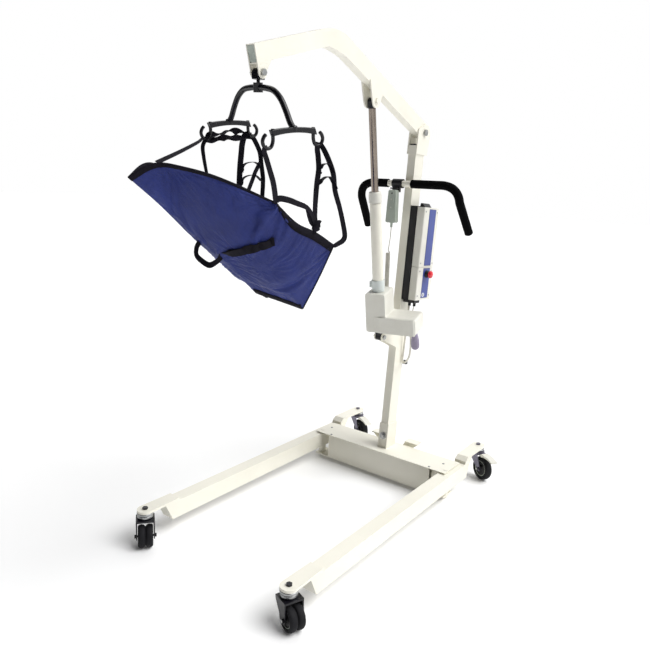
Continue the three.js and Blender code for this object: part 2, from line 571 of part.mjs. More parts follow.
function makeHandle() {
  const tube = [-1, 1].map((s) => bar(handleCurve(-s * 2, s), HANDLE.radius, 14, 18));
  add('push_handle', join(...tube), ivory);
  for (const [side, s, start] of [['left', -1, GRIP.leftStart], ['right', 1, GRIP.rightStart]]) {
    const sleeve = bar(handleCurve(start, s, 5), GRIP.radius, 12, 16);
    const bore = bar(handleCurve(-s * 2, s, 0.6), HANDLE.radius + GAP, 14, 18);
    add(`grip_${side}`, cut(sleeve, bore), foam);
  }
}

// ---- Handset ----------------------------------------------------------------------------------------
function makeHandset() {
  const { x, y, top, bottom, width, depth } = HANDSET;
  const clamp = cut(
    join(
      rodX(GRIP.radius + 1.5, x - 20, x + 24, 20).translate(0, HANDLE.y, HANDLE.z),
      box(x - 15, x + 15, y + depth / 2 + 1, HANDLE.y, HANDLE.z - 34, HANDLE.z),
      box(x - 15, x + 15, y - 4, y + depth / 2 + 3, HANDLE.z - 22, HANDLE.z - 17)),
    rodX(HANDLE.radius + GAP, -150, 150, 16).translate(0, HANDLE.y, HANDLE.z));
  add('handset_hook', clamp, blackPlastic);

  const h = width / 2;
  const outline = new THREE.Shape();
  outline.moveTo(x - h + 8, bottom);
  outline.lineTo(x + h - 8, bottom);
  outline.quadraticCurveTo(x + h, bottom, x + h, bottom + 8);
  outline.lineTo(x + h - 5, top - 8);
  outline.quadraticCurveTo(x + h - 6, top, x + h - 14, top);
  outline.lineTo(x - h + 14, top);
  outline.quadraticCurveTo(x - h + 6, top, x - h + 5, top - 8);
  outline.lineTo(x - h, bottom + 8);
  outline.quadraticCurveTo(x - h, bottom, x - h + 8, bottom);
  const body = plateXZ(outline, y - depth / 2, y + depth / 2, 3);
  const pocket = (z) => box(x - 10.5, x + 10.5, y - depth / 2 - 1, y - depth / 2 + 5, z - 11.5, z + 11.5);
  const gland = rodZ(5, bottom - 18, bottom + 3, 14).translate(x, y, 0);
  add('handset', cut(join(body, gland), pocket(1160), pocket(1128)), greyPlastic);
  for (const [name, z] of [['up', 1160], ['down', 1128]]) {
    const face = y - depth / 2;
    add(`button_${name}`, box(x - 10, x + 10, face - 2, face + 3, z - 11, z + 11), greyPlastic);
  }
}

// ---- Control unit -------------------------------------------------------------------------------------
function makeControlUnit() {
  const { inner, outer, bottom, top, depth } = DOCK;
  const moduleShape = roundedRect(outer + GAP, CASE.outer, 0, CASE.depth, 6);
  add('control_box', plateXY(moduleShape, bottom + 2, CASE.split - GAP, 3), ivoryPlastic, mast);
  const lip = shapeOf([[outer + 1, top - 5], [CASE.outer - 8, top - 5], [outer + 10, top + 11], [outer + 4, top + 11]]);
  const battery = join(plateXY(moduleShape, CASE.split + 1, top - 3, 3), plateXZ(lip, 22, 74));
  add('battery_pack', battery, ivoryPlastic, mast);

  const face = CASE.outer + GAP;
  const stopZ = 752;
  const stopY = 68;
  const bezel = lathe([[7, 0], [15, 0], [13, 12], [7, 12], [7, 0]], 24).rotateY(Math.PI / 2);
  add('stop_button_base', bezel.translate(face, stopY, stopZ), blackPlastic, mast);
  const knob = lathe([[0, 3], [6.5, 3], [6.5, 15], [14, 16], [15, 22], [11, 28], [0, 29]], 24).rotateY(Math.PI / 2);
  add('stop_button', knob.translate(face, stopY, stopZ), red, mast);

  const dock = join(
    plateXY(roundedRect(inner, outer, 0, depth, 3), bottom, top, 2),
    box(inner + 5, 74, 10, 52, bottom - 11, bottom + 1.7),
    rodZ(6, bottom - 26, bottom - 10, 14).translate(62, 34, 0),
    rodZ(6, bottom - 26, bottom - 10, 14).translate(40, 34, 0));
  add('dock', dock, blackPlastic, mast);
}

// ---- Cords ----------------------------------------------------------------------------------------
const CORD_ROUTES = {
  handset_lead: { radius: 2.5, steps: 12, points: [
    [-42, 455, 1049.7], [-42, 455, 1035], [-43, 455.5, 1010], [-45.5, 456, 985], [-48, 456, 966], [-49, 456, 950]] },
  handset_lead_tail: { radius: 2.5, steps: 34, points: [
    [-38, 446, 750.5], [-36, 445, 738], [-31, 443, 722], [-20, 440, 706], [-4, 438, 696], [14, 438, 692],
    [32, 442, 693], [47, 452, 697], [58, 468, 703], [62.5, 485, 711], [62.7, 495, 719], [62.3, 500.2, 728],
    [62, 502.6, 735.2]] },
  actuator_lead: { radius: 4, steps: 46, points: [
    [112.6, 404.6, 634], [113, 406, 620], [112, 410, 600], [108, 418, 580], [101, 430, 561], [91, 445, 543],
    [79, 460, 527], [66, 475, 513], [53, 489, 502], [42, 500, 494], [33, 507, 490], [26.5, 511, 492],
    [23.6, 513, 502], [24, 514, 520], [25.5, 514, 545], [27.5, 513, 575], [30, 511, 605], [33, 508, 635],
    [36, 505, 665], [38.5, 503, 695], [39.8, 502.4, 718], [40, 502.6, 735.2]] }
};

function makeCords() {
  for (const [name, { radius, steps, points }] of Object.entries(CORD_ROUTES)) {
    const sides = radius < 4 ? 8 : 10;
    add(name, bar(smooth(points), radius, sides, steps), greyPlastic);
  }
  const coilTop = [-49, 456, 949.6];
  const coilBottom = [-38, 446, 750.9];
  add('handset_coil', bar(new THREE.LineCurve3(vector(coilTop), vector(coilBottom)), 9.5, 14, 1), greyPlastic);
}

// ---- Cradle ------------------------------------------------------------------------------------------
const hangerTop = NOSE_BOLT.z;

function makeHanger() {
  const block = join(
    box(-12.5, 12.5, NOSE_BOLT.y - 13, NOSE_BOLT.y + 13, hangerTop - 18, hangerTop + 4),
    rodX(13, -12.5, 12.5, 20).translate(0, NOSE_BOLT.y, hangerTop));
  const stem = rodZ(5, CRADLE.z - 10, hangerTop - 15, 16).translate(0, NOSE_BOLT.y, 0);
  const bore = rodX(NOSE_BOLT.radius + GAP, -40, 40, 16).translate(0, NOSE_BOLT.y, hangerTop);
  add('hanger', cut(join(block, stem), bore), blackPaint);
}

// Cradle group: hangs from the stem, turned and tipped as it rests with an empty sling.
const cradle = subgroup(0, NOSE_BOLT.y, CRADLE.z, 'ZXY');
cradle.rotation.set(CRADLE.pitch, CRADLE.roll, CRADLE.yaw);

function makeCradle() {
  const { halfSpan, drop, halfBar } = CRADLE;
  const arm = (s) => smooth([[s * 9, 0, 0], [s * 42, 0, -1], [s * 80, 0, -7], [s * 112, 0, -26], [s * 136, 0, -54],
    [s * 156, 0, -84], [s * (halfSpan - 2), 0, -drop + 8]]);
  const boss = rodZ(13.5, -13, 13, 24);
  const arms = [-1, 1].map((s) => bar(arm(s), 7, 12, 16));
  const stemHole = rodZ(7.8, -40, 40, 24);
  add('yoke', cut(join(boss, ...arms), stemHole), blackPaint, cradle);

  for (const [side, s] of [['left', -1], ['right', 1]]) {
    const leaf = new THREE.Shape();
    leaf.moveTo(-halfBar, -drop - 12);
    leaf.lineTo(-halfBar, -drop + 5);
    leaf.quadraticCurveTo(0, -drop + 15, halfBar, -drop + 5);
    leaf.lineTo(halfBar, -drop - 12);
    leaf.quadraticCurveTo(0, -drop + 4, -halfBar, -drop - 12);
    const x = s * halfSpan;
    const y = (d, r) => d * (halfBar - 8 + r);
    const hooks = [-1, 1].map((d) => bar(smooth([
      [x, y(d, 0), -drop + 8], [x, y(d, 0), -drop - 8], [x, y(d, 0.5), -drop - 24], [x, y(d, 6), -drop - 37],
      [x, y(d, 17), -drop - 41], [x, y(d, 28), -drop - 35], [x, y(d, 32), -drop - 23], [x, y(d, 28), -drop - 12],
      [x, y(d, 21), -drop - 5]]), 5, 10, 14));
    const socket = bar(arm(s), 7 + GAP, 12, 16);
    const plate = plateYZ(leaf, x - 8, x + 8, 10);
    add(`hook_bar_${side}`, cut(join(plate, ...hooks), socket), blackPaint, cradle);
  }
}

// ---- Sling -------------------------------------------------------------------------------------------
// Sling group: turned with the cradle but hanging plumb. Heights are above the floor.
const sling = subgroup(0, NOSE_BOLT.y, 0);
sling.rotation.z = CRADLE.yaw;

// One half of the folded sling: its fold line, side hem, head hem and leg edge, in the group's frame.
const fold = smooth([[0, -375, 1201], [0, -292, 1134], [0, -190, 1042], [0, -103, 976], [0, 11, 879]]);
const headHem = smooth([[0, -375, 1201], [18, -335, 1232], [34, -300, 1242], [70, -257, 1235], [105, -203, 1221],
  [140, -142, 1197], [165, -73, 1167], [176, -46, 1155]]);
const sideHem = smooth([[176, -46, 1155], [185, 17, 1100], [190, 82, 1073], [188, 149, 1037]]);
const legEdge = smooth([[0, 11, 879], [42, 70, 856], [92, 110, 846], [142, 126, 930], [188, 149, 1037]]);

// A patch between the four edges, filled out sideways so that the half hangs as a trough.
function slingPoint(u, v, side) {
  const a = fold.getPoint(v);
  const b = sideHem.getPoint(v);
  const c = headHem.getPoint(u);
  const d = legEdge.getPoint(u);
  const corner = (p, q, t) => p.clone().lerp(q, t);
  const bilinear = corner(corner(a0, b0, u), corner(a1, b1, u), v);
  const p = corner(a, b, u).add(corner(c, d, v)).sub(bilinear);
  const belly = Math.sin(Math.PI * u) * Math.sin(Math.PI * Math.min(1, v * 0.9 + 0.05));
  p.x += 34 * belly;
  p.z -= 16 * belly;
  p.x *= side;
  return p;
}
const a0 = fold.getPoint(0);
const a1 = fold.getPoint(1);
const b0 = sideHem.getPoint(0);
const b1 = sideHem.getPoint(1);

function makeSlingPanel() {
  const across = 16;
  const along = 10;
  const grid = [];
  for (let j = 0; j <= along; j++) {
    const row = [];
    for (let i = 0; i <= across; i++) {
      const t = (2 * i) / across - 1;
      row.push(slingPoint(Math.abs(t), j / along, t < 0 ? -1 : 1));
    }
    grid.push(row);
  }
  const normalAt = (i, j) => {
    const left = grid[j][Math.max(i - 1, 0)];
    const right = grid[j][Math.min(i + 1, across)];
    const up = grid[Math.max(j - 1, 0)][i];
    const down = grid[Math.min(j + 1, along)][i];
    return right.clone().sub(left).cross(down.clone().sub(up)).normalize();
  };
  const positions = [];
  const half = SLING.thickness / 2;
  for (const offset of [half, -half]) {
    for (let j = 0; j <= along; j++) {
      for (let i = 0; i <= across; i++) {
        const p = grid[j][i].clone().addScaledVector(normalAt(i, j), offset);
        positions.push(p.x, p.y, p.z);
      }
    }
  }
  const count = (across + 1) * (along + 1);
  const index = [];
  const quad = (a, b, c, d) => index.push(a, b, c, a, c, d);
  const at = (i, j, layer) => layer * count + j * (across + 1) + i;
  for (let j = 0; j < along; j++) {
    for (let i = 0; i < across; i++) {
      quad(at(i, j, 0), at(i + 1, j, 0), at(i + 1, j + 1, 0), at(i, j + 1, 0));
      quad(at(i, j + 1, 1), at(i + 1, j + 1, 1), at(i + 1, j, 1), at(i, j, 1));
    }
  }
  for (let i = 0; i < across; i++) {
    quad(at(i, 0, 1), at(i + 1, 0, 1), at(i + 1, 0, 0), at(i, 0, 0));
    quad(at(i, along, 0), at(i + 1, along, 0), at(i + 1, along, 1), at(i, along, 1));
  }
  for (let j = 0; j < along; j++) {
    quad(at(0, j, 0), at(0, j + 1, 0), at(0, j + 1, 1), at(0, j, 1));
    quad(at(across, j, 1), at(across, j + 1, 1), at(across, j + 1, 0), at(across, j, 0));
  }
  const geometry = new THREE.BufferGeometry();
  geometry.setAttribute('position', new THREE.BufferAttribute(new Float32Array(positions), 3));
  geometry.setIndex(index);
  geometry.computeVertexNormals();
  add('sling_panel', geometry, nylon, sling);
}

// Where a strap's loop sits in a hook's bend, in the sling group's frame.
function hookSeat(side, end) {
  const local = new THREE.Vector3(side * CRADLE.halfSpan, end * (CRADLE.halfBar + 9), -CRADLE.drop - 36);
  cradle.updateMatrixWorld(true);
  sling.updateMatrixWorld(true);
  return sling.worldToLocal(cradle.localToWorld(local));
}

function makeStraps() {
  const strap = (name, side, end, hem, width) => {
    const seat = hookSeat(side, end);
    const top = seat.clone().lerp(hem, 0.14);
    const foot = hem.clone().lerp(seat, 0.06);
    const ribbon = new THREE.BoxGeometry(width, 6, top.distanceTo(foot));
    const direction = top.clone().sub(foot).normalize();
    ribbon.applyQuaternion(new THREE.Quaternion().setFromUnitVectors(new THREE.Vector3(0, 0, 1), direction));
    const middle = top.clone().lerp(foot, 0.5);
    ribbon.translate(middle.x, middle.y, middle.z);
    add(name, ribbon, webbing, sling);
  };
  strap('strap_shoulder_right', 1, -1, new THREE.Vector3(174, -50, 1158), 30);
  strap('strap_shoulder_left', -1, -1, new THREE.Vector3(-174, -50, 1158), 30);
  strap('strap_leg_right', 1, 1, new THREE.Vector3(189, 140, 1044), 34);
  strap('strap_leg_left', -1, 1, new THREE.Vector3(-189, 140, 1044), 34);
}

// ---- Assembly ----------------------------------------------------------------------------------------
makeBase();
for (const [side, s] of [['left', -1], ['right', 1]]) makeLeg(side, s);
makeSpreader();
makeFrontCaster('caster_front_left', -CASTER_X, -0.65);
makeFrontCaster('caster_front_right', CASTER_X, -0.36);
makeRearCaster('caster_rear_left', -CASTER_X, -0.5);
makeRearCaster('caster_rear_right', CASTER_X, -0.5);
makeMast();
makeHead();
makeBoom();
makeActuator();
makeActuatorBracket();
makeHandle();
makeHandset();
makeControlUnit();
makeCords();
makeHanger();
makeCradle();
makeSlingPanel();
makeStraps();

for (const piece of hoist.children) piece.position.x -= CENTRE_X;

export default hoist;
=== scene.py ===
# The looks of the patient lift: materials, casters, cords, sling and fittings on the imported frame.
import math
import bpy
import bmesh
from mathutils import Matrix, Vector
from mathutils.bvhtree import BVHTree


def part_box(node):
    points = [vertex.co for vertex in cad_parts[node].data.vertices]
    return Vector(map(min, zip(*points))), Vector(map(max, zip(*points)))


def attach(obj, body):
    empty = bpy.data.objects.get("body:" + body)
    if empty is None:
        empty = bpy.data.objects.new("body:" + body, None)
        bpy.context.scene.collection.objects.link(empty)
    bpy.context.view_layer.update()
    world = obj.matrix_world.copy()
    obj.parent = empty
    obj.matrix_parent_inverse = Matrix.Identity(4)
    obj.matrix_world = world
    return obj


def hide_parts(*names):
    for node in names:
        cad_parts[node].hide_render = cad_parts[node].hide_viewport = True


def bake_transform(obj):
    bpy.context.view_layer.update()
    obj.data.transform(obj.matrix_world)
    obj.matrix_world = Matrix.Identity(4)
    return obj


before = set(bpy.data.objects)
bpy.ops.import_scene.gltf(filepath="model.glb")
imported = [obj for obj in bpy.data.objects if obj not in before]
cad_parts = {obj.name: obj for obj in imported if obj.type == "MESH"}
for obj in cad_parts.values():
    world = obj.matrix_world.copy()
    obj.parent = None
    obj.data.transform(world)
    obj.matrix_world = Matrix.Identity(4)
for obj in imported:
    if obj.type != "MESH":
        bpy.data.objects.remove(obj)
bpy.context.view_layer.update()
MM = 0.001

# ---- Frames of the leaning and turned groups, in metres -----------------------------------------
MAST_LEAN = 0.055
BASE_TOP = 0.1208


def turn(x=0.0, y=0.0, z=0.0):
    return Matrix.Rotation(z, 4, "Z") @ Matrix.Rotation(x, 4, "X") @ Matrix.Rotation(y, 4, "Y")


PIN_LOW, PIN_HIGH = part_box("boom_pivot_pin")
WORLD = Matrix.Translation(((PIN_LOW[0] + PIN_HIGH[0]) / 2, 0, 0))
MAST = WORLD @ Matrix.Translation((0, 0.438, BASE_TOP)) @ turn(x=-MAST_LEAN)
ACTUATOR_LEAN = math.atan2(162, 875)
ACTUATOR = WORLD @ Matrix.Translation((0, 0.357, 0.622)) @ turn(x=ACTUATOR_LEAN)
GEARBOX = ACTUATOR @ turn(z=0.21)
CRADLE = WORLD @ Matrix.Translation((0, -0.386, 1.461)) @ turn(x=0.12, y=0.094, z=-0.276)
SLING = WORLD @ Matrix.Translation((0, -0.386, 0)) @ turn(z=-0.276)
CASTERS = {
    "front_left": (-0.314, -0.55, -0.65),
    "front_right": (0.314, -0.55, -0.36),
    "rear_left": (-0.314, 0.715, -0.5),
    "rear_right": (0.314, 0.715, -0.5),
}

# ---- Camera --------------------------------------------------------------------------------------
CAM_YAW, CAM_PITCH, CAM_ROLL = 0.635, 0.220, 0.049
EYE = WORLD @ Vector((1.2865, -1.7628, 1.2101))


def make_camera():
    sy, cy = math.sin(CAM_YAW), math.cos(CAM_YAW)
    sp, cp = math.sin(CAM_PITCH), math.cos(CAM_PITCH)
    forward = Vector((-sy * cp, cy * cp, -sp))
    right = Vector((cy, sy, 0))
    up = right.cross(forward)
    c, s = math.cos(CAM_ROLL), math.sin(CAM_ROLL)
    r, u = c * right + s * up, -s * right + c * up
    cam = bpy.data.objects.new("camera", bpy.data.cameras.new("camera"))
    bpy.context.scene.collection.objects.link(cam)
    cam.data.lens, cam.data.sensor_width = 35.15, 36.0
    cam.data.dof.use_dof = False
    m = Matrix((r, u, -forward)).transposed().to_4x4()
    m.translation = EYE
    cam.matrix_world = m
    bpy.context.scene.camera = cam


make_camera()


# ---- Materials -----------------------------------------------------------------------------------
def srgb(h):
    v = [int(h[i:i + 2], 16) / 255 for i in (0, 2, 4)]
    return [c / 12.92 if c <= 0.04045 else ((c + 0.055) / 1.055) ** 2.4 for c in v] + [1.0]


def node(tree, kind, **values):
    n = tree.nodes.new(kind)
    for key, value in values.items():
        if key in n.inputs:
            n.inputs[key].default_value = value
        else:
            setattr(n, key, value)
    return n


def material(name, light, dark, rough, metallic=0.0, mottle=6.0, grain=900.0, bump=0.05, coat=0.0, sheen=0.0,
             rough_spread=0.08, specular=0.5):
    """A base colour that wanders between two shades, uneven gloss and a fine surface grain."""
    m = bpy.data.materials.new(name)
    m.use_nodes = True
    t = m.node_tree
    bsdf = t.nodes["Principled BSDF"]
    where = node(t, "ShaderNodeTexCoord").outputs["Object"]
    cloud = node(t, "ShaderNodeTexNoise", Scale=mottle, Detail=5.0, Roughness=0.6)
    ramp = node(t, "ShaderNodeValToRGB")
    ramp.color_ramp.elements[0].position, ramp.color_ramp.elements[1].position = 0.3, 0.7
    ramp.color_ramp.elements[0].color, ramp.color_ramp.elements[1].color = srgb(dark), srgb(light)
    t.links.new(where, cloud.inputs["Vector"])
    t.links.new(cloud.outputs["Fac"], ramp.inputs["Fac"])
    t.links.new(ramp.outputs["Color"], bsdf.inputs["Base Color"])
    fine = node(t, "ShaderNodeTexNoise", Scale=grain, Detail=2.0)
    t.links.new(where, fine.inputs["Vector"])
    spread = node(t, "ShaderNodeMapRange")
    spread.inputs["To Min"].default_value = max(rough - rough_spread, 0.02)
    spread.inputs["To Max"].default_value = rough + rough_spread
    t.links.new(cloud.outputs["Fac"], spread.inputs["Value"])
    t.links.new(spread.outputs["Result"], bsdf.inputs["Roughness"])
    b = node(t, "ShaderNodeBump", Strength=bump, Distance=0.0004)
    t.links.new(fine.outputs["Fac"], b.inputs["Height"])
    t.links.new(b.outputs["Normal"], bsdf.inputs["Normal"])
    bsdf.inputs["Metallic"].default_value = metallic
    bsdf.inputs["Coat Weight"].default_value = coat
    bsdf.inputs["Sheen Weight"].default_value = sheen
    bsdf.inputs["Specular IOR Level"].default_value = specular
    return m


def weave(name, light, dark, scale, rough=0.8, bump=0.5, mottle=9.0, sheen=0.3, specular=0.3, crinkle=0.0):
    """Cloth: two crossed sets of threads, slightly uneven in colour, and a soft crinkle if asked for."""
    m = material(name, light, dark, rough, mottle=mottle, bump=bump, sheen=sheen, rough_spread=0.05,
                 specular=specular)
    t = m.node_tree
    b = next(n for n in t.nodes if n.type == "BUMP")
    uv = node(t, "ShaderNodeUVMap").outputs["UV"]
    waves = []
    for direction in ("X", "Y"):
        w = node(t, "ShaderNodeTexWave", Scale=scale, Distortion=0.6, bands_direction=direction)
        t.links.new(uv, w.inputs["Vector"])
        waves.append(w.outputs["Fac"])
    mix = node(t, "ShaderNodeMath", operation="MULTIPLY")
    t.links.new(waves[0], mix.inputs[0])
    t.links.new(waves[1], mix.inputs[1])
    t.links.new(mix.outputs[0], b.inputs["Height"])
    b.inputs["Distance"].default_value = 0.0006
    ramp = next(n for n in t.nodes if n.type == "VALTORGB")
    bsdf = t.nodes["Principled BSDF"]
    if crinkle:
        stretch = node(t, "ShaderNodeMapping", Scale=(38, 9, 1))
        t.links.new(uv, stretch.inputs["Vector"])
        fold = node(t, "ShaderNodeTexNoise", Scale=1.0, Detail=7.0, Roughness=0.62, Distortion=1.4)
        t.links.new(stretch.outputs["Vector"], fold.inputs["Vector"])
        soft = node(t, "ShaderNodeBump", Strength=crinkle, Distance=0.006)
        t.links.new(fold.outputs["Fac"], soft.inputs["Height"])
        t.links.new(soft.outputs["Normal"], b.inputs["Normal"])
    shade = node(t, "ShaderNodeMix", data_type="RGBA", blend_type="MULTIPLY")
    shade.inputs["Factor"].default_value = 0.35
    t.links.new(ramp.outputs["Color"], shade.inputs["A"])
    t.links.new(mix.outputs[0], shade.inputs["B"])
    t.links.new(shade.outputs["Result"], bsdf.inputs["Base Color"])
    return m


M = {
    "ivory": material("ivory_powder_coat", "f4f1e4", "ebe8da", 0.42, mottle=4, grain=700, bump=0.12, coat=0.15),
    "black": material("black_gloss_paint", "121119", "0a0a0e", 0.33, mottle=14, grain=600, bump=0.1, coat=0.1,
                      specular=0.35),
    "zinc": material("zinc_plate", "b3b4b3", "8d8f8f", 0.34, metallic=0.9, mottle=30, grain=1500, bump=0.06),
    "dull_zinc": material("dull_zinc", "807d8b", "595665", 0.38, metallic=0.85, mottle=30, grain=1500, bump=0.06),
    "chrome": material("polished_rod", "94897f", "796f67", 0.16, metallic=1.0, mottle=12, grain=2500, bump=0.02),
    "black_plastic": material("black_plastic", "151518", "0e0e11", 0.5, mottle=20, grain=2200, bump=0.2),
    "ivory_plastic": material("ivory_plastic", "e9e8df", "dedcd2", 0.5, mottle=8, grain=2200, bump=0.15),
    "grey_plastic": material("grey_plastic", "b4bdb2", "a3aca3", 0.5, mottle=12, grain=2200, bump=0.15),
    "cord_grey": material("cord_grey", "e2dfd4", "cbc8bd", 0.5, mottle=40, grain=2200, bump=0.15),
    "lilac": material("lilac_plastic", "a59cb3", "877e97", 0.5, mottle=12, grain=2000, bump=0.15),
    "red": material("red_plastic", "ee1830", "d90f26", 0.25, mottle=20, grain=1500, bump=0.03, coat=0.4),
    "pale_blue": material("pale_blue_plastic", "dfe5e1", "d0d8d6", 0.5, mottle=8, grain=2200, bump=0.15),
    "rubber": material("tyre_rubber", "19191d", "101013", 0.72, mottle=25, grain=1800, bump=0.3, specular=0.25),
    "foam": material("grip_foam", "0a0a0c", "050506", 0.93, mottle=30, grain=1300, bump=0.8, specular=0.08),
    "label_blue": material("label_blue", "40509a", "35448e", 0.4, mottle=20, grain=1500, bump=0.03),
    "label_edge": material("label_edge", "2f3a80", "283272", 0.4, mottle=20, grain=1500, bump=0.03),
    "label_pale": material("label_pale", "dfe2ea", "d2d6e0", 0.4, mottle=20, grain=1500, bump=0.03),
    "cloth": weave("sling_cloth", "2b3c92", "202d76", 260, rough=0.42, mottle=7, sheen=0.02,
                   specular=0.34, crinkle=0.7),
    "webbing": weave("sling_webbing", "1d1a26", "121018", 420, rough=0.75, mottle=40, sheen=0.0,
                     specular=0.15),
}


def paint(obj, mat):
    obj.data.materials.clear()
    obj.data.materials.append(M[mat])


def ride(piece, body):
    """Rides a new piece on a body."""
    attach(piece, body)
    return piece


# ---- Mesh helpers: points in millimetres in a local frame -----------------------------------------
def mesh_object(name, verts, faces, mat, at=WORLD):
    me = bpy.data.meshes.new(name)
    me.from_pydata([tuple(at @ (Vector(v) * MM)) for v in verts], [], faces)
    me.validate()
    bm = bmesh.new()
    bm.from_mesh(me)
    bmesh.ops.remove_doubles(bm, verts=bm.verts, dist=1e-6)
    bmesh.ops.recalc_face_normals(bm, faces=bm.faces)
    bm.to_mesh(me)
    bm.free()
    ob = bpy.data.objects.new(name, me)
    bpy.context.scene.collection.objects.link(ob)
    paint(ob, mat)
    for p in me.polygons:
        p.use_smooth = True
    return ob


def soften(ob, width=0.0015, segments=2, angle=35):
    """Rounds the sharp edges and keeps the flats flat."""
    b = ob.modifiers.new("round", "BEVEL")
    b.width, b.segments, b.limit_method, b.angle_limit = width, segments, "ANGLE", math.radians(angle)
    b.use_clamp_overlap = True
    b.harden_normals = False
    w = ob.modifiers.new("flats", "WEIGHTED_NORMAL")
    w.keep_sharp = True
    return ob


def tidy_flats(ob, width=0.0015, segments=2, angle=35):
    """The same for a CAD node, whose flats arrive cut into triangles."""
    d = ob.modifiers.new("merge", "DECIMATE")
    d.decimate_type, d.angle_limit = "DISSOLVE", math.radians(0.8)
    for p in ob.data.polygons:
        p.use_smooth = True
    return soften(ob, width, segments, angle)


def lathe(name, profile, mat, at=WORLD, sides=56):
    """Turns [radius, height] pairs about the local Z axis; a profile off the axis closes into a ring."""
    verts, faces = [], []
    n = len(profile)
    steps = range(n) if min(profile[0][0], profile[-1][0]) > 0 else range(n - 1)
    for k in range(sides):
        a = 2 * math.pi * k / sides
        verts += [(r * math.cos(a), r * math.sin(a), z) for r, z in profile]
    for k in range(sides):
        j = (k + 1) % sides
        faces += [(k * n + i, j * n + i, j * n + (i + 1) % n, k * n + (i + 1) % n) for i in steps]
    ob = mesh_object(name, verts, faces, mat, at)
    return soften(ob, 0.0006, 2, 30)


def frames_along(points):
    """Tangent and two steady side directions at each point."""
    pts = [Vector(p) for p in points]
    tangents = []
    for i in range(len(pts)):
        a, b = pts[max(i - 1, 0)], pts[min(i + 1, len(pts) - 1)]
        tangents.append((b - a).normalized())
    side = tangents[0].cross(Vector((0.31, 0.17, 0.93)))
    if side.length < 0.1:
        side = tangents[0].cross(Vector((1, 0, 0)))
    side.normalize()
    out = []
    for p, t in zip(pts, tangents):
        side = (side - t * side.dot(t)).normalized()
        out.append((p, t, side, t.cross(side)))
    return out


def tube(name, points, radius, mat, at=WORLD, sides=16, radii=None):
    verts, faces = [], []
    rows = frames_along(points)
    for k, (p, t, u, v) in enumerate(rows):
        r = radii[k] if radii else radius
        for s in range(sides):
            a = 2 * math.pi * s / sides
            verts.append(p + r * (math.cos(a) * u + math.sin(a) * v))
    for k in range(len(rows) - 1):
        for s in range(sides):
            q = (s + 1) % sides
            faces.append((k * sides + s, k * sides + q, (k + 1) * sides + q, (k + 1) * sides + s))
    faces += [list(range(sides))[::-1], [(len(rows) - 1) * sides + s for s in range(sides)]]
    return mesh_object(name, verts, faces, mat, at)


def spline(points, per=8):
    """A smooth line through the points."""
    pts = [Vector(p) for p in points]
    ext = [2 * pts[0] - pts[1]] + pts + [2 * pts[-1] - pts[-2]]
    out = []
    for i in range(1, len(ext) - 2):
        a, b, c, d = ext[i - 1:i + 3]
        for k in range(per):
            t = k / per
            out.append(0.5 * ((2 * b) + (c - a) * t + (2 * a - 5 * b + 4 * c - d) * t * t
                              + (3 * b - a - 3 * c + d) * t ** 3))
    out.append(pts[-1])
    return out


def prism(name, outline, lo, hi, axis, mat, at=WORLD, width=0.0015, segments=2):
    """Pulls a flat outline along one local axis."""
    def place(p, h):
        return {"X": (h, p[0], p[1]), "Y": (p[0], h, p[1]), "Z": (p[0], p[1], h)}[axis]
    n = len(outline)
    verts = [place(p, lo) for p in outline] + [place(p, hi) for p in outline]
    faces = [list(range(n))[::-1], list(range(n, 2 * n))]
    faces += [(i, (i + 1) % n, n + (i + 1) % n, n + i) for i in range(n)]
    ob = mesh_object(name, verts, faces, mat, at)
    return soften(ob, width, segments) if width else ob


def block(name, lo, hi, mat, at=WORLD, width=0.0015, segments=3):
    outline = [(lo[0], lo[1]), (hi[0], lo[1]), (hi[0], hi[1]), (lo[0], hi[1])]
    return prism(name, outline, lo[2], hi[2], "Z", mat, at, width, segments)


def merge(name, objects):
    """One object from several, each with its own material and modifiers applied."""
    deps = bpy.context.evaluated_depsgraph_get()
    deps.update()
    bm = bmesh.new()
    mats = []
    for o in objects:
        me = bpy.data.meshes.new_from_object(o.evaluated_get(deps))
        start = len(bm.faces)
        bm.from_mesh(me)
        bm.faces.ensure_lookup_table()
        m = o.data.materials[0]
        if m not in mats:
            mats.append(m)
        for f in bm.faces[start:]:
            f.material_index = mats.index(m)
        bpy.data.meshes.remove(me)
        bpy.data.objects.remove(o)
    me = bpy.data.meshes.new(name)
    bm.to_mesh(me)
    bm.free()
    ob = bpy.data.objects.new(name, me)
    bpy.context.scene.collection.objects.link(ob)
    for m in mats:
        me.materials.append(m)
    return ob


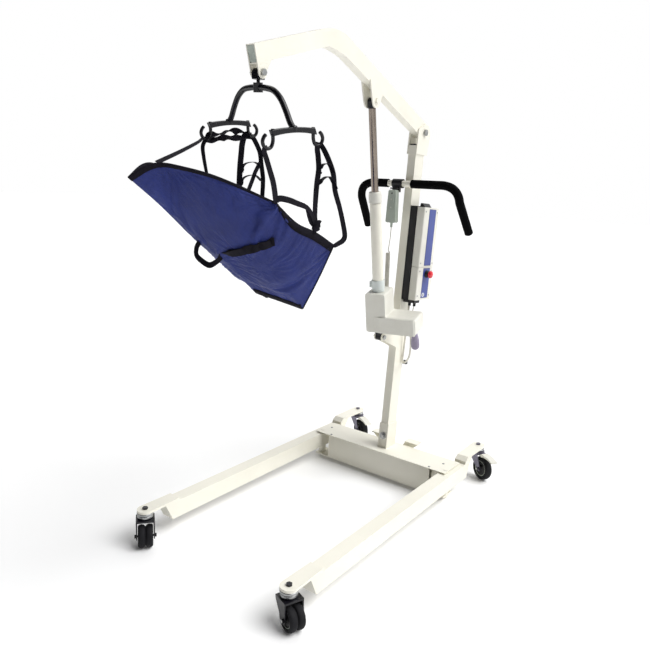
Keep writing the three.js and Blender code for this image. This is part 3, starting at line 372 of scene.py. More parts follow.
def make_cords():
    lead = [(-42, 455, 1050.5), (-42, 455, 1035), (-43, 455.5, 1010), (-45.5, 456, 985), (-48, 456, 966),
            (-49, 456, 956)]
    top, bottom = Vector((-49, 456, 946)), Vector((-38, 446, 755))
    turns, wire, coil_radius = 42, 4.0, 7.8
    axis = (bottom - top).normalized()
    u = axis.cross(Vector((0, 1, 0))).normalized()
    v = axis.cross(u)
    coil = []
    steps = turns * 16
    for k in range(steps + 1):
        f = k / steps
        a = 2 * math.pi * turns * f
        coil.append(top.lerp(bottom, f) + coil_radius * (math.cos(a) * u + math.sin(a) * v))
    tail = [(-36, 445, 738), (-31, 443, 722), (-20, 440, 706), (-4, 438, 696), (14, 438, 692), (32, 442, 693),
            (47, 452, 697), (58, 468, 703), (62.5, 485, 711), (62.7, 495, 719), (62.3, 500.2, 728), (62, 502.6, 735.2)]
    into = spline([lead[-1], coil[0] + Vector((-3, 0, 4)), coil[0]], 5)[:-1]
    out = spline([coil[-1], coil[-1] + Vector((2, 0, -6)), Vector(tail[0])], 5)[1:]
    route = spline(lead, 4)[:-1] + into + coil + out + spline(tail, 4)[1:]
    curly = tube("handset_cord", route, wire / 2, "cord_grey", sides=10)
    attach(curly, "base")
    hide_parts("handset_lead", "handset_coil", "handset_lead_tail")

    points = [(112.6, 404.6, 634), (113, 406, 620), (112, 410, 600), (108, 418, 580), (101, 430, 561), (91, 445, 543),
              (79, 460, 527), (66, 475, 513), (53, 489, 502), (42, 500, 494), (33, 507, 490), (26.5, 511, 492),
              (23.6, 513, 502), (24, 514, 520), (25.5, 514, 545), (27.5, 513, 575), (30, 511, 605), (33, 508, 635),
              (36, 505, 665), (38.5, 503, 695), (39.8, 502.4, 718), (40, 502.6, 735.2)]
    route = spline(points, 4)
    power = tube("motor_cord", route, 4, "cord_grey", sides=14)
    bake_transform(power)
    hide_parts("actuator_lead")


make_cords()

# ---- CAD nodes that keep their shape ---------------------------------------------------------------
# material, node and the width of its rounded edges in millimetres
KEPT = {
    "ivory": {"cross_beam": 1.5, "base_cover": 0.8, "leg_left": 2.0, "leg_right": 2.0, "mast_tube": 4.0,
              "mast_socket": 1.5, "mast_head_bracket": 1.2, "boom": 3.0, "actuator_bracket": 1.0,
              "spreader_pedal": 2.0, "leg_pivot_pin_left": 0.6, "leg_pivot_pin_right": 0.6},
    "zinc": {"mast_bolt": 0.6, "boom_pivot_pin": 0.6, "nose_bolt": 0.6, "actuator_base_pin": 0.6},
    "black": {"actuator_base_eye": 1.0, "rod_end": 1.0, "hanger": 1.2},
    "black_plastic": {"handset_hook": 1.0, "dock": 1.5},
    "ivory_plastic": {"gear_cover_front": 2.5, "gear_cover_rear": 2.5, "control_box": 1.5, "battery_pack": 1.5,
                      "caster_rear_left_brake": 1.5, "caster_rear_right_brake": 1.5},
    "grey_plastic": {"boom_nose_cap": 0.8, "button_up": 1.0, "button_down": 1.0, "handset": 1.5},
}
for mat_name, nodes in KEPT.items():
    for node_name, width in nodes.items():
        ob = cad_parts[node_name]
        paint(ob, mat_name)
        tidy_flats(ob, width * MM, 3)


def stand_in(ob, body, *nodes):
    ride(ob, body)
    if nodes:
        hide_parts(*nodes)
    return ob


# ---- Round pieces, turned finely --------------------------------------------------------------------
def make_actuator():
    stand_in(lathe("outer_tube", [(17, 192), (21.4, 192), (21.4, 533), (17, 533)],
                   "ivory", ACTUATOR), "actuator", "actuator_tube")
    clamp = [(21.6, 192), (23.4, 192), (23.4, 203), (25, 204), (25.4, 236), (24.6, 238), (21.6, 238)]
    ride(lathe("tube_clamp", clamp, "pale_blue", ACTUATOR), "actuator")
    ear = [(-31, 208), (-24, 206), (-24, 233), (-30, 231)]
    ride(prism("tube_clamp_ear", ear, -16, -9, "Y", "pale_blue", ACTUATOR, 0.0012), "actuator")
    stand_in(lathe("tube_end_cap", [(13.3, 534.5), (22.5, 534.5), (24, 536), (24, 562), (23, 566), (23, 572),
                                    (21, 575), (13.3, 575)], "ivory_plastic", ACTUATOR),
             "actuator", "tube_collar_upper")
    length = math.hypot(162, 875)
    rod = [(0, 462), (13, 462), (13, length - 24), (0, length - 24)]
    stand_in(lathe("lift_rod", rod, "chrome", ACTUATOR), "rod", "actuator_rod")
    at = GEARBOX @ Matrix.Translation((0.146, 0, 0))
    knob = [(0, -38), (7, -37.6), (11.5, -35), (13.6, -31), (14.8, -24), (15, -6), (14.2, 8), (12.5, 18), (10.5, 25),
            (9.6, 29), (8, 30), (8, 40), (0, 40)]
    body = lathe("lowering_knob_body", knob, "lilac", at)
    ribs = []
    for k in range(16):
        a = 2 * math.pi * k / 16
        rib = [(13.6 * math.cos(a), 13.6 * math.sin(a), -29), (14.5 * math.cos(a), 14.5 * math.sin(a), -22),
               (14.6 * math.cos(a), 14.6 * math.sin(a), -8), (13.9 * math.cos(a), 13.9 * math.sin(a), 6)]
        ribs.append(tube(f"rib_{k}", spline(rib, 4), 1.4, "lilac", at, 8))
    stand_in(merge("lowering_knob_ribbed", [body] + ribs), "lowering_knob", "lowering_knob")


make_actuator()


def handle_line(x0, side, past=0.0):
    """One side of the push handle from x0 outwards."""
    start, corner_in = Vector((x0, 484, 1222)), Vector((side * 140, 484, 1222))
    corner, arm_top = Vector((side * 221, 480, 1225)), Vector((side * 223, 502, 1160))
    arm_end = Vector((side * 235, 584, 1045))
    arm_end = arm_end + (arm_end - arm_top).normalized() * past
    pts = [start.lerp(corner_in, k / 12) for k in range(12)]
    for k in range(16):
        t = k / 16
        pts.append(corner_in * (1 - t) ** 2 + corner * 2 * t * (1 - t) + arm_top * t * t)
    pts += [arm_top.lerp(arm_end, k / 10) for k in range(11)]
    return pts


def make_handle():
    line = handle_line(0, -1)[::-1][:-1] + handle_line(0, 1)
    stand_in(tube("handle_tube", line, 12.5, "ivory", sides=28), "base", "push_handle")
    for name, side, start, body in (("left", -1, -85, "grip_left"), ("right", 1, 20, "grip_right")):
        pts = handle_line(start, side, 5)
        radii = [16.5] * len(pts)
        radii[0], radii[-1] = 14.5, 12.0
        pts.insert(1, pts[0].lerp(pts[1], 0.15))
        radii.insert(1, 16.5)
        pts.insert(-1, pts[-1].lerp(pts[-2], 0.25))
        radii.insert(-1, 16.5)
        stand_in(tube(f"foam_{name}", pts, 16.5, "foam", sides=28, radii=radii), "base", body)


make_handle()


# ---- Cradle ------------------------------------------------------------------------------------------
def make_cradle():
    parts = [lathe("boss", [(7.9, -13), (13.5, -13), (13.5, 13), (7.9, 13)], "black", CRADLE)]
    for s in (-1, 1):
        arm = [(s * 10, 0, 0), (s * 42, 0, -1), (s * 80, 0, -7), (s * 112, 0, -26), (s * 136, 0, -54),
               (s * 156, 0, -84), (s * 170, 0, -98)]
        parts.append(tube(f"arm_{s}", spline(arm, 8), 8.4, "black", CRADLE, 20))
    stand_in(merge("yoke_tube", parts), "cradle", "yoke")
    for name, s in (("left", -1), ("right", 1)):
        x = s * 172
        top = [(y, -106 + 5 + 10 * (1 - (y / 73) ** 2) * 0.5) for y in range(-73, 74, 10)]
        bottom = [(y, -106 - 12 + 16 * (1 - (y / 73) ** 2) * 0.5) for y in range(73, -74, -10)]
        pieces = [prism("leaf", top + bottom, x - 9, x + 9, "X", "black", CRADLE, 0.0022, 3)]
        pieces.append(lathe("socket", [(7.2, -8), (11, -8), (11, 6), (9, 9), (7.2, 9)], "black",
                            CRADLE @ Matrix.Translation((x * MM, 0, -0.101))))
        for d in (-1, 1):
            y0 = d * 65
            hook = [(x, y0, -98), (x, y0, -114), (x, y0 + d * 0.5, -130), (x, y0 + d * 6, -143), (x, y0 + d * 17, -147),
                    (x, y0 + d * 28, -141), (x, y0 + d * 32, -129), (x, y0 + d * 28, -118), (x, y0 + d * 21, -111)]
            line = spline(hook, 8)
            radii = [5.0] * len(line)
            radii[-1] = 3.0
            pieces.append(tube(f"hook_{d}", line, 5, "black", CRADLE, 16, radii))
        stand_in(merge(f"spreader_{name}", pieces), "cradle", f"hook_bar_{name}")


make_cradle()


# ---- Casters -------------------------------------------------------------------------------------------
def tyre_profile(radius, width):
    """The soft ring of a wheel, rounded at the tread, with a bead where it meets the hub."""
    r, w = radius, width
    half = [(0.66, 0.30), (0.665, 0.42), (0.69, 0.46), (0.72, 0.43), (0.80, 0.5), (0.88, 0.47), (0.94, 0.40),
            (0.98, 0.28), (1.0, 0.12)]
    return [(r * a, -w * b) for a, b in half] + [(r * a, w * b) for a, b in half[::-1]]


def hub_profile(radius, width, bore):
    r, w = radius, width
    half = [(bore / r, 0.42), (0.22, 0.42), (0.25, 0.36), (0.30, 0.30), (0.42, 0.27), (0.45, 0.31), (0.49, 0.31),
            (0.52, 0.27), (0.61, 0.27), (0.655, 0.34)]
    return [(r * a, -w * b) for a, b in half] + [(r * a, w * b) for a, b in half[::-1]]


# how far the axle ends stand from the wheel's middle: rear, front
NUT_TIP = (33.2, 35.6)


def make_casters():
    for name, (x, y, heading) in CASTERS.items():
        at = WORLD @ Matrix.Translation((x, y, 0)) @ turn(z=heading)
        front = name.startswith("front")
        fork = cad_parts[f"caster_{name}_fork"]
        paint(fork, "black" if front else "dull_zinc")
        tidy_flats(fork, 0.0016, 3)
        top = 113.7 if front else 131.7
        rings = [("upper", 27.4, top - 9, top - 0.6), ("lower", 25.8, top - 19, top - 9.6)] if front else [
            ("upper", 26.0, top - 7, top - 0.8), ("lower", 25.8, top - 13, top - 7.6)]
        for which, reach, low, high in rings:
            race = [(20, low), (reach - 1.4, low), (reach, low + 1.4), (reach, high - 1.8), (reach - 1.8, high),
                    (20, high)]
            ride(lathe(f"{name}_race_{which}", race, "zinc", at), f"{name}_fork")
        radius, width, trail = (37.5, 23, 25) if front else (50, 32, 42)
        bore = 4.4 if front else 5.5
        axle = at @ Matrix.Translation((trail * MM, 0, radius * MM)) @ Matrix.Rotation(math.pi / 2, 4, "X")
        parts = []
        for k, off in enumerate((-13, 13) if front else (0,)):
            spot = axle @ Matrix.Translation((0, 0, off * MM))
            parts.append(lathe(f"tyre_{k}", tyre_profile(radius, width), "rubber", spot, 72))
            parts.append(lathe(f"hub_{k}", hub_profile(radius, width, bore), "black_plastic", spot, 48))
            # painted highlight: a thin grey ring on each side of the wheel, where the hub meets the tyre, stands in for
            # the light ring of highlight on the hub
            for low, high in ((0.335, 0.385), (-0.385, -0.335)):
                band = [(radius * 0.60, width * low), (radius * 0.655, width * low), (radius * 0.655, width * high),
                        (radius * 0.60, width * high)]
                parts.append(lathe(f"band_{k}", band, "grey_plastic", spot, 48))
        if front:
            parts.append(lathe("hub_sleeve", [(4.4, -4), (31, -4), (31, 4), (4.4, 4)], "rubber", axle))
        whole = merge(f"{name}_tyres", parts)
        stand_in(whole, f"{name}_wheels" if front else f"{name}_wheel",
                 f"caster_{name}_wheels" if front else f"caster_{name}_wheel")
        if not front:
            spot = at @ Matrix.Translation((0.056, 0, 0.1128))
            rivet = [(0, -0.5), (4, -0.5), (4, 0.9), (2.8, 1.9), (0, 2.1)]
            ride(lathe(f"{name}_brake_rivet", rivet, "black_plastic", spot, 20), f"{name}_brake")
        tip = NUT_TIP[front]
        for side in (-1, 1):
            nut = [(0, tip - 3.5), (5.4, tip - 3.5), (5.4, tip - 0.2), (4.2, tip + 0.3), (0, tip + 0.4)]
            end = axle @ (Matrix.Identity(4) if side > 0 else Matrix.Rotation(math.pi, 4, "X"))
            ride(lathe(f"{name}_axle_nut_{'a' if side > 0 else 'b'}", nut, "zinc", end, 24), f"{name}_fork")


make_casters()


# ---- Control unit and handset -----------------------------------------------------------------------
def make_controls():
    stop = MAST @ Matrix.Translation((0.0823, 0.068, 0.752)) @ Matrix.Rotation(math.pi / 2, 4, "Y")
    bezel = lathe("stop_bezel", [(6.8, 0), (14, 0), (15, 1.5), (14, 9), (12.5, 12), (8, 12), (6.8, 11)],
                  "black_plastic", stop)
    stand_in(bezel, "base", "stop_button_base")
    red = lathe("stop_mushroom", [(0, 4.2), (6.5, 4.2), (6.5, 15), (13.2, 15.6), (14.8, 17.5), (15, 22), (13.4, 25.5),
                                  (9, 28), (0, 29)], "red", stop)
    stand_in(red, "stop_button", "stop_button")
    face = 82.2
    for name, z0, z1, body in (("upper", 786, 1011, "battery"), ("lower", 654, 776, "base")):
        for layer, mat, inset, lift in (("edge", "label_edge", 0, 0.4), ("face", "label_blue", 2.5, 0.7)):
            y0, y1 = 42 + inset, 98 - inset
            outline = [(y0, z0 + inset), (y1, z0 + inset), (y1, z1 - inset), (y0, z1 - inset)]
            label = prism(f"label_{name}_{layer}", outline, face - 0.2, face + lift, "X", mat, MAST, 0.0002, 1)
            ride(label, body)
    lip = [(47.6, 1013), (75.5, 1013), (59.5, 1032.5), (50.5, 1032.5)]
    ride(prism("release_lip", lip, 20.5, 75.5, "Y", "black_plastic", MAST, 0.0012), "battery")
    oval = [(58 + 11 * math.cos(a), 667 + 8.5 * math.sin(a)) for a in (2 * math.pi * k / 28 for k in range(28))]
    ride(prism("lock_plate", oval, face, face + 1.4, "X", "label_pale", MAST, 0.0005, 2), "base")
    slot = [(55.4, 662), (60.6, 662), (60.6, 672), (55.4, 672)]
    ride(prism("lock_slot", slot, face + 1.4, face + 1.8, "X", "black_plastic", MAST, 0.0002, 1), "base")
    for k, (y, z) in enumerate([(14, 664), (110, 664), (14, 764), (110, 764), (14, 796), (110, 796), (14, 1000),
                                (110, 1000)]):
        at = MAST @ Matrix.Translation((face * MM, y * MM, z * MM)) @ Matrix.Rotation(math.pi / 2, 4, "Y")
        screw = lathe(f"case_screw_{k}", [(0, -0.6), (3.2, -0.6), (3.2, 0.4), (2.4, 1.1), (0, 1.2)], "zinc", at, 20)
        ride(screw, "battery" if z > 780 else "base")
    for name, z, tip in (("up", 1160, 1), ("down", 1128, -1)):
        arrow = [(-42 - 3.4, z - 2 * tip), (-42 + 3.4, z - 2 * tip), (-42, z + 3 * tip)]
        ride(prism(f"arrow_{name}", arrow, 440.5, 441.2, "Y", "cord_grey", WORLD, 0.0001, 1), f"button_{name}")
    at = WORLD @ Matrix.Translation((-0.042, 0.443, 1.183)) @ Matrix.Rotation(math.pi / 2, 4, "X")
    lamp = [(0, -0.4), (3.4, -0.4), (3.4, 0.4), (2.6, 0.9), (0, 1.0)]
    ride(lathe("handset_lamp", lamp, "black_plastic", at, 20), "base")


make_controls()


# ---- Base fittings ------------------------------------------------------------------------------------
def make_fittings():
    top = 120.8
    for k, (x, y) in enumerate([(-290, 470), (-242, 401), (242, 404), (273, 469)]):
        at = WORLD @ Matrix.Translation((x * MM, y * MM, top * MM))
        head = lathe(f"cover_screw_{k}", [(0, -0.5), (4.8, -0.5), (4.8, 1), (3.6, 2.2), (2, 2.4), (1.8, 1.2), (0, 1.2)],
                     "zinc", at, 28)
        ride(head, "base")
    pad = block("boom_pad", (-12, -4, 1253), (12, 10, 1257.5), "rubber", MAST, 0.001)
    ride(pad, "base")
    clip = prism("cord_clip", [(17.2, 66), (34, 66), (36, 74), (34, 82), (17.2, 82)], 362, 378, "Z", "black_plastic",
                 MAST, 0.0015)
    ride(clip, "base")


make_fittings()


# ---- Sling ---------------------------------------------------------------------------------------------
FOLD = [(0, -375, 1201), (0, -292, 1134), (0, -190, 1042), (0, -103, 976), (0, 11, 879)]
HEAD_HEM = [(0, -375, 1201), (18, -335, 1232), (34, -300, 1242), (70, -257, 1235), (105, -203, 1221),
            (140, -142, 1197), (165, -73, 1167), (176, -46, 1155)]
SIDE_HEM = [(176, -46, 1155), (185, 17, 1100), (190, 82, 1073), (188, 149, 1037)]
LEG_EDGE = [(0, 11, 879), (44, 66, 860), (94, 113, 842), (141, 131, 936), (188, 149, 1037)]


class Line:
    """A smooth line read by its share of the point index, as the CAD reads it; it may turn at one corner."""

    def __init__(self, points, corner=None):
        if corner:
            self.fine = spline(points[:corner + 1], 24) + spline(points[corner:], 24)[1:]
        else:
            self.fine = spline(points, 24)

    def at(self, t):
        x = max(0.0, min(1.0, t)) * (len(self.fine) - 1)
        i = min(int(x), len(self.fine) - 2)
        return self.fine[i].lerp(self.fine[i + 1], x - i)


fold, head_hem, side_hem, leg_edge = Line(FOLD), Line(HEAD_HEM), Line(SIDE_HEM), Line(LEG_EDGE, 2)


def patch(u, v, side):
    """A point of one half of the panel: u from the fold to the side hem, v from the head to the legs."""
    a, b, c, d = fold.at(v), side_hem.at(v), head_hem.at(u), leg_edge.at(u)
    corners = fold.at(0).lerp(side_hem.at(0), u).lerp(fold.at(1).lerp(side_hem.at(1), u), v)
    p = a.lerp(b, u) + c.lerp(d, v) - corners
    belly = math.sin(math.pi * u) * math.sin(math.pi * min(1.0, v * 0.9 + 0.05))
    p.x += 34 * belly
    p.z -= 16 * belly
    p.x *= side
    return p


# centre of each fan in the panel's own shares, height, number of folds, reach and phase
FANS = [(1.0, 0.02, 2.4, 37, 0.8, 0.9), (0.30, 0.0, 1.8, 19, 0.35, 1.1), (1.0, 0.98, 1.8, 17, 0.6, 2.0),
        (0.0, 0.70, 2.0, 29, 0.45, 0.3), (0.45, 0.62, 1.6, 23, 0.4, 1.7)]


def wrinkle(u, v, side):
    """Height of the small folds that fan out from the FANS and of one long crease, in millimetres."""
    total = 0.0
    for (cu, cv, amount, count, reach, phase) in FANS:
        du, dv = u - cu, (v - cv) * 1.4
        r = math.hypot(du, dv)
        a = math.atan2(dv, du)
        fade = min(1.0, r / 0.10) * math.exp(-(r / reach) ** 2 * 2.2)
        wave = (math.sin(count * a + phase + 1.2 * math.sin(9 * r + phase))
                + 0.5 * math.sin(count * 1.7 * a + 2 * phase))
        total += amount * fade * wave
    total += 1.3 * math.sin(31 * u + 11 * v + side) * math.sin(23 * v - 9 * u) * math.sin(math.pi * u)
    edge = min(1.0, u / 0.05, (1 - u) / 0.05, v / 0.05, (1 - v) / 0.05)
    line = (1 - u) - 1.1 * v
    crease = math.exp(-(line / 0.03) ** 2) * (1 if u > 0.5 else math.exp(-((0.5 - u) / 0.08) ** 2))
    return total * edge - 9 * crease * edge


# how long the sheet settles, and the most that a point of it may move, in metres
SETTLE_FRAMES, SETTLE_CAP = 18, 0.014
# rows of the net held at the hems and at the leg edge, and how firmly the fold is held
HEM_ROWS, LEG_ROWS, FOLD_HOLD = 6, 10, 0.9


def settle(ob, across, along):
    """Cloth simulation: the sheet is a little larger than its hems allow, so it buckles and sags between them."""
    held = ob.vertex_groups.new(name="held")
    w = across + 1
    for index in range(len(ob.data.vertices)):
        i, j = index % w, index // w
        hemmed = min(i, across - i, j) < HEM_ROWS or along - j < LEG_ROWS
        fold_gap = abs(i - across // 2)
        held.add([index], 1.0 if hemmed else FOLD_HOLD if fold_gap < 2 else 0.0, "REPLACE")
    cloth_mod = ob.modifiers.new("settle", "CLOTH")
    settings = cloth_mod.settings
    settings.quality, settings.mass, settings.air_damping = 6, 0.25, 2.0
    settings.tension_stiffness, settings.compression_stiffness, settings.shear_stiffness = 20, 20, 6
    settings.bending_stiffness = 0.04
    settings.vertex_group_mass = "held"
    settings.shrink_min = settings.shrink_max = -0.014
    settings.effector_weights.gravity = 0.5
    cloth_mod.point_cache.frame_start, cloth_mod.point_cache.frame_end = 1, SETTLE_FRAMES
    scene = bpy.context.scene
    for frame_number in range(1, SETTLE_FRAMES + 1):
        scene.frame_set(frame_number)
    deps = bpy.context.evaluated_depsgraph_get()
    me = bpy.data.meshes.new_from_object(ob.evaluated_get(deps))
    for v, new in zip(ob.data.vertices, me.vertices):
        move = new.co - v.co
        if move.length > SETTLE_CAP:
            move *= SETTLE_CAP / move.length
        v.co += move
    bpy.data.meshes.remove(me)
    ob.modifiers.remove(cloth_mod)
    ob.vertex_groups.remove(held)
    scene.frame_set(1)


def make_sling():
    """The panel of both halves, and the net of its settled points for the bands and the pull handle."""
    across, along = 150, 90
    grid = []
    for j in range(along + 1):
        row = []
        for i in range(across + 1):
            t = 2 * i / across - 1
            row.append(patch(abs(t), j / along, -1 if t < 0 else 1))
        grid.append(row)
    verts = []
    for j in range(along + 1):
        for i in range(across + 1):
            t = 2 * i / across - 1
            a = grid[j][min(i + 1, across)] - grid[j][max(i - 1, 0)]
            b = grid[min(j + 1, along)][i] - grid[max(j - 1, 0)][i]
            n = a.cross(b).normalized()
            verts.append(grid[j][i] + n * wrinkle(abs(t), j / along, -1 if t < 0 else 1))
    w = across + 1
    faces = [(j * w + i, j * w + i + 1, (j + 1) * w + i + 1, (j + 1) * w + i) for j in range(along)
             for i in range(across)]
    cloth = mesh_object("sling_cloth", verts, faces, "cloth", SLING)
    uv = cloth.data.uv_layers.new(name="weave")
    for loop in cloth.data.loops:
        i, j = loop.vertex_index % w, loop.vertex_index // w
        uv.data[loop.index].uv = (i / across * 0.9, j / along * 0.62)
    settle(cloth, across, along)
    back = SLING.inverted()
    points = [back @ v.co / MM for v in cloth.data.vertices]
    solid = cloth.modifiers.new("thick", "SOLIDIFY")
    solid.thickness, solid.offset = 0.0022, 0.0
    return cloth, [points[j * w:(j + 1) * w] for j in range(along + 1)]


def ribbon(name, points, width, normal, mat="webbing", thick=1.6, at=SLING, twist=None, widths=None, per=8,
           smooth_line=True):
    """A flat strap along a line; its face looks along normal, turned by twist (degrees) along the way."""
    line = spline(points, per) if smooth_line else [Vector(p) for p in points]
    n = len(line)
    verts, faces, uvs = [], [], []
    run = 0.0
    last = None
    for k, p in enumerate(line):
        a, b = line[max(k - 1, 0)], line[min(k + 1, n - 1)]
        t = (b - a).normalized()
        up = Vector(normal(k / (n - 1)) if callable(normal) else normal)
        up = (up - t * up.dot(t))
        up = up.normalized() if up.length > 1e-6 else last
        last = up
        if twist:
            angle = math.radians(twist(k / (n - 1)) if callable(twist) else twist)
            up = Matrix.Rotation(angle, 3, t) @ up
        side = t.cross(up)
        wd = widths(k / (n - 1)) if widths else width
        run += (p - line[k - 1]).length if k else 0
        for s, h in ((-0.5, 0.5), (0.5, 0.5), (0.5, -0.5), (-0.5, -0.5)):
            verts.append(p + side * s * wd + up * h * thick)
        uvs.append(run)
    for k in range(n - 1):
        for s in range(4):
            q = (s + 1) % 4
            faces.append((4 * k + s, 4 * k + q, 4 * k + 4 + q, 4 * k + 4 + s))
    faces += [(3, 2, 1, 0), (4 * n - 4, 4 * n - 3, 4 * n - 2, 4 * n - 1)]
    ob = mesh_object(name, verts, faces, mat, at)
    uv = ob.data.uv_layers.new(name="weave")
    for loop in ob.data.loops:
        k, s = divmod(loop.vertex_index, 4)
        uv.data[loop.index].uv = (uvs[k] * MM, (0 if s in (0, 3) else width * MM))
    soften(ob, 0.0004, 1)
    return ob


def binding(name, paths, width, thick, grow=1.5):
    """A band folded over the cloth's edge; each path runs inwards from the edge along the cloth."""
    rows = []
    for path in paths:
        run = 0.0
        marks = [path[0], None, None]
        for a, b in zip(path, path[1:]):
            step = (b - a).length
            for place, reach in ((1, width * 0.5), (2, width)):
                if marks[place] is None and run + step >= reach:
                    marks[place] = a.lerp(b, (reach - run) / step)
            run += step
        rows.append(marks)
    section = [(2, 1), (1, 1), (0, 1), (0, 0), (0, -1), (1, -1), (2, -1)]
    verts, faces, n = [], [], len(rows)
    for k, (edge, mid, deep) in enumerate(rows):
        along = (rows[min(k + 1, n - 1)][1] - rows[max(k - 1, 0)][1]).normalized()
        out = (edge - mid).normalized()
        up = along.cross(out).normalized()
        for which, sign in section:
            push = out * (grow if sign == 0 else 0)
            verts.append((edge, mid, deep)[which] + up * sign * thick / 2 + push)
    m = len(section)
    for k in range(n - 1):
        faces += [(k * m + q, k * m + (q + 1) % m, (k + 1) * m + (q + 1) % m, (k + 1) * m + q) for q in range(m)]
    faces += [list(range(m))[::-1], [(n - 1) * m + q for q in range(m)]]
    ob = mesh_object(name, verts, faces, "webbing", SLING)
    uv = ob.data.uv_layers.new(name="weave")
    for loop in ob.data.loops:
        k, q = divmod(loop.vertex_index, m)
        uv.data[loop.index].uv = (k * 0.006, q * 0.006)
    ride(ob, "cradle")
    return ob


def strap(name, points, width, normal, **options):
    ob = ribbon(name, points, width, normal, **options)
    ride(ob, "cradle")
    return ob


def make_straps(net):
    near, far = (1, 0, 0), (-1, 0, 0)
    made = []

    def add(*facts, **options):
        made.append(strap(*facts, **options))

    # bindings folded over the real edge of the cloth
    across, along = len(net[0]) - 1, len(net) - 1
    made.append(binding("head_binding", [[net[j][i] for j in range(40)] for i in range(across + 1)], 14, 4.6))
    for tag, i, way in (("near", across, -1), ("far", 0, 1)):
        made.append(binding(f"side_binding_{tag}", [[net[j][i + way * k] for k in range(40)]
                                                    for j in range(along + 1)], 21, 5.0, 3))
        middle = across // 2
        for part, lo, hi, width in (("leg_binding", 0, across // 4, 24), ("front_binding", across // 4, middle, 4)):
            columns = [middle + (k if tag == "near" else -k) for k in range(lo, hi + 1)]
            lean = 1 if tag == "near" else -1
            made.append(binding(f"{part}_{tag}", [[net[along - j][min(max(i + lean * j // 2, 0), across)]
                                                    for j in range(30)] for i in columns], width, 5.4, 2.5))
    # far hooks
    add("strap_far_head", [(-185, -66, 1322), (-170, -86, 1320), (-123, -124, 1306), (-62, -205, 1275),
                           (-6, -296, 1241)], 13, (0.9, -0.6, 0.5), widths=lambda t: 9 + 5 * t)
    add("strap_far_front", [(-185, -66, 1322), (-185, -76, 1300), (-183, -74, 1270), (-180, -66, 1225),
                            (-176, -52, 1160)], 13, far, twist=lambda t: 40 + 40 * t)
    add("strap_far_slack_upper", [(-185, -68, 1322), (-185, -49, 1336), (-185, -18, 1341), (-185, 13, 1350),
                                  (-185, 50, 1352), (-185, 92, 1344)], 22, far,
        twist=lambda t: 40 + 75 * math.sin(9 * t) + 180 * t, per=14)
    add("strap_far_slack_lower", [(-187, -68, 1316), (-187, -39, 1322), (-187, -2, 1330), (-187, 35, 1333),
                                  (-187, 92, 1340)], 20, far, twist=lambda t: 60 * math.sin(11 * t + 1), per=14)
    add("ladder_far_a", [(-185, 92, 1344), (-185, 70, 1345), (-184, 59, 1319), (-183, 55, 1286), (-182, 51, 1244),
                         (-181, 49, 1197), (-180, 50, 1140), (-182, 66, 1085)], 18, far,
        twist=lambda t: 10 + 50 * t)
    add("ladder_far_b", [(-185, 92, 1344), (-185, 106, 1327), (-185, 124, 1295), (-186, 131, 1258), (-186, 138, 1220),
                         (-186, 139, 1191), (-186, 138, 1150), (-187, 142, 1060)], 15, far, twist=lambda t: 30 + 30 * t)
    add("ladder_far_rung_a", [(-182, 55, 1232), (-184, 59, 1243), (-184, 71, 1257), (-184, 91, 1263),
                              (-184, 107, 1263), (-184, 124, 1254)], 18, (0, 0.3, 1))
    add("ladder_far_rung_b", [(-182, 52, 1192), (-184, 59, 1206), (-184, 72, 1217), (-184, 92, 1223),
                              (-184, 111, 1222), (-184, 132, 1206)], 18, (0, 0.3, 1))
    add("ladder_far_cross", [(-184, 124, 1262), (-184, 108, 1233), (-184, 98, 1208), (-184, 80, 1165)], 14, far)
    # near hooks
    add("strap_near_front", [(158, -62, 1293), (160, -74, 1285), (166, -69, 1261), (170, -61, 1234), (174, -51, 1200),
                             (178, -44, 1152)], 18, near, widths=lambda t: 13 + 6 * t, twist=lambda t: 8 - 20 * t)
    add("ladder_near_a", [(158, 100, 1318), (162, 95, 1300), (166, 96, 1279), (170, 97, 1246), (174, 90, 1209),
                          (178, 85, 1168), (182, 82, 1126), (187, 82, 1092)], 15, near,
        twist=lambda t: 22 + 18 * math.sin(5 * t))
    add("ladder_near_b", [(158, 104, 1318), (161, 118, 1300), (168, 131, 1273), (173, 146, 1236), (176, 153, 1190),
                          (179, 170, 1144), (183, 182, 1101), (187, 188, 1066), (189, 180, 1051), (190, 162, 1042),
                          (190, 145, 1034)], 15, near, twist=lambda t: 60 * abs(2 * t - 1) ** 2 + 12)
    add("ladder_near_rung_a", [(170, 97, 1236), (172, 99, 1244), (172, 106, 1257), (172, 119, 1262), (172, 132, 1260),
                               (171, 146, 1240)], 18, (0, 0.3, 1))
    add("ladder_near_rung_b", [(174, 92, 1195), (176, 97, 1205), (176, 105, 1218), (176, 122, 1227), (176, 137, 1223),
                               (175, 157, 1196)], 18, (0, 0.3, 1))
    add("strap_near_side", [(177, -50, 1160), (179, -30, 1164), (181, -4, 1160), (183, 19, 1153), (185, 50, 1143),
                            (187, 66, 1126), (189, 80, 1100)], 17, (1, 0, 0.4), twist=lambda t: 10 * math.sin(6 * t))
    add("strap_near_tail", [(187, 52, 1138), (188, 58, 1118), (188, 66, 1102), (189, 78, 1092)], 12, near)
    # knot on the near ladder strap: three turns of webbing
    for k in range(3):
        ring = []
        for q in range(25):
            a = 2 * math.pi * q / 24
            ring.append((190 + 5 * math.cos(a), 82 + 10 * math.sin(a + 0.5 * k),
                         1092 + (k - 1) * 8 + 4 * math.sin(a + k)))
        add(f"knot_{k}", ring, 11, lambda t: (math.cos(2 * math.pi * t), math.sin(2 * math.pi * t), 0.1), per=2,
            thick=4)
    # the pull handle: a strip sewn to the near face, with a loop that hangs below the fold
    skin = BVHTree.FromPolygons([p for row in net for p in row], [
        (j * (across + 1) + i, j * (across + 1) + i + 1, (j + 1) * (across + 1) + i + 1, (j + 1) * (across + 1) + i)
        for j in range(along) for i in range(across)])

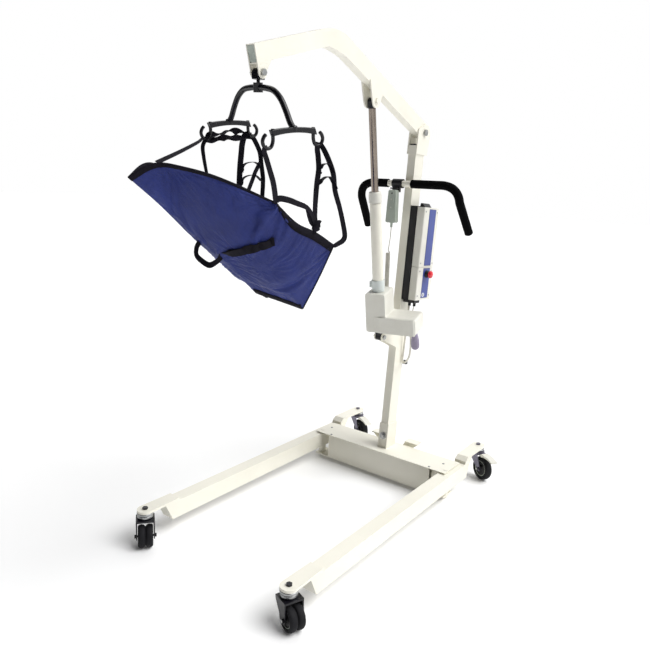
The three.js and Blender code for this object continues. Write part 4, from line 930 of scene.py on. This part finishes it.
    def on_cloth(point, lift):
        """The place on the near face straight in from a point, lifted off it, and the face's direction."""
        spot, n, _, _ = skin.ray_cast(Vector((400, point[1], point[2])), Vector((-1, 0, 0)))
        n = n if n.x > 0 else -n
        return spot + n * lift, n

    sewn = spline([(80, -35, 1051), (67, -62, 1039), (53, -93, 1028), (40, -119, 1012)], 8)
    sewn = [on_cloth(p, 7.0) for p in sewn]
    add("handle_strip", [p for p, n in sewn], 24, lambda t: sewn[round(t * (len(sewn) - 1))][1], smooth_line=False,
        thick=2.4)
    loop = [sewn[-3][0], sewn[-1][0], (35, -123, 1002), (26, -128, 988), (21, -140, 977), (17, -156, 971),
            (13, -176, 983), (9, -190, 999), (4, -187, 1020), (2, -176, 1036)]
    away = Vector((0.9, 0.4, 0.1))
    add("handle_loop", loop, 17, lambda t: sewn[-1][1].lerp(away, min(1.0, 2.2 * t)), thick=2.4,
        widths=lambda t: 24 - 7 * min(1.0, 4 * t))
    return made


cloth, cloth_net = make_sling()
ride(cloth, "cradle")
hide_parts("sling_panel")
straps = make_straps(cloth_net)
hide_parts("strap_shoulder_right")
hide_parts("strap_shoulder_left")
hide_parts("strap_leg_right")
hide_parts("strap_leg_left")


# ---- Floor, light and background -----------------------------------------------------------------------
ROOM_FRONT, ROOM_BACK = 0.0, 1.0
SUN_FROM, SUN_STRENGTH, SUN_SPREAD = (0.56, 0.2, 0.84), 2.8, 45
FLOOR_GLOW = 0.04


def make_stage():
    me = bpy.data.meshes.new("floor")
    size = 30
    me.from_pydata([(-size, -size, 0), (size, -size, 0), (size, size, 0), (-size, size, 0)], [], [(0, 1, 2, 3)])
    floor = bpy.data.objects.new("floor", me)
    bpy.context.scene.collection.objects.link(floor)
    floor.location.z = -0.0005
    pale = material("floor_pale", "ffffff", "fcfcfc", 0.9, mottle=0.5, bump=0.0)
    bsdf = pale.node_tree.nodes["Principled BSDF"]
    bsdf.inputs["Emission Color"].default_value = (1, 1, 1, 1)
    bsdf.inputs["Emission Strength"].default_value = FLOOR_GLOW
    me.materials.append(pale)
    # the room: bright behind and above, dimmer in front, so that the faces towards -Y turn grey
    world = bpy.data.worlds.new("studio")
    world.use_nodes = True
    t = world.node_tree
    where = node(t, "ShaderNodeTexCoord").outputs["Generated"]
    split = node(t, "ShaderNodeSeparateXYZ")
    t.links.new(where, split.inputs["Vector"])
    room = node(t, "ShaderNodeMapRange")
    for key, value in {"From Min": -0.1, "From Max": 0.45, "To Min": ROOM_FRONT, "To Max": ROOM_BACK}.items():
        room.inputs[key].default_value = value
    t.links.new(split.outputs["Y"], room.inputs["Value"])
    t.nodes["Background"].inputs["Color"].default_value = (1, 1, 1, 1)
    t.links.new(room.outputs["Result"], t.nodes["Background"].inputs["Strength"])
    bpy.context.scene.world = world
    light = bpy.data.lights.new("key", "SUN")
    light.energy, light.angle = SUN_STRENGTH, math.radians(SUN_SPREAD)
    ob = bpy.data.objects.new("key", light)
    ob.rotation_euler = Vector(SUN_FROM).to_track_quat("Z", "Y").to_euler()
    bpy.context.scene.collection.objects.link(ob)


make_stage()
bpy.context.scene.view_settings.view_transform = "Standard"
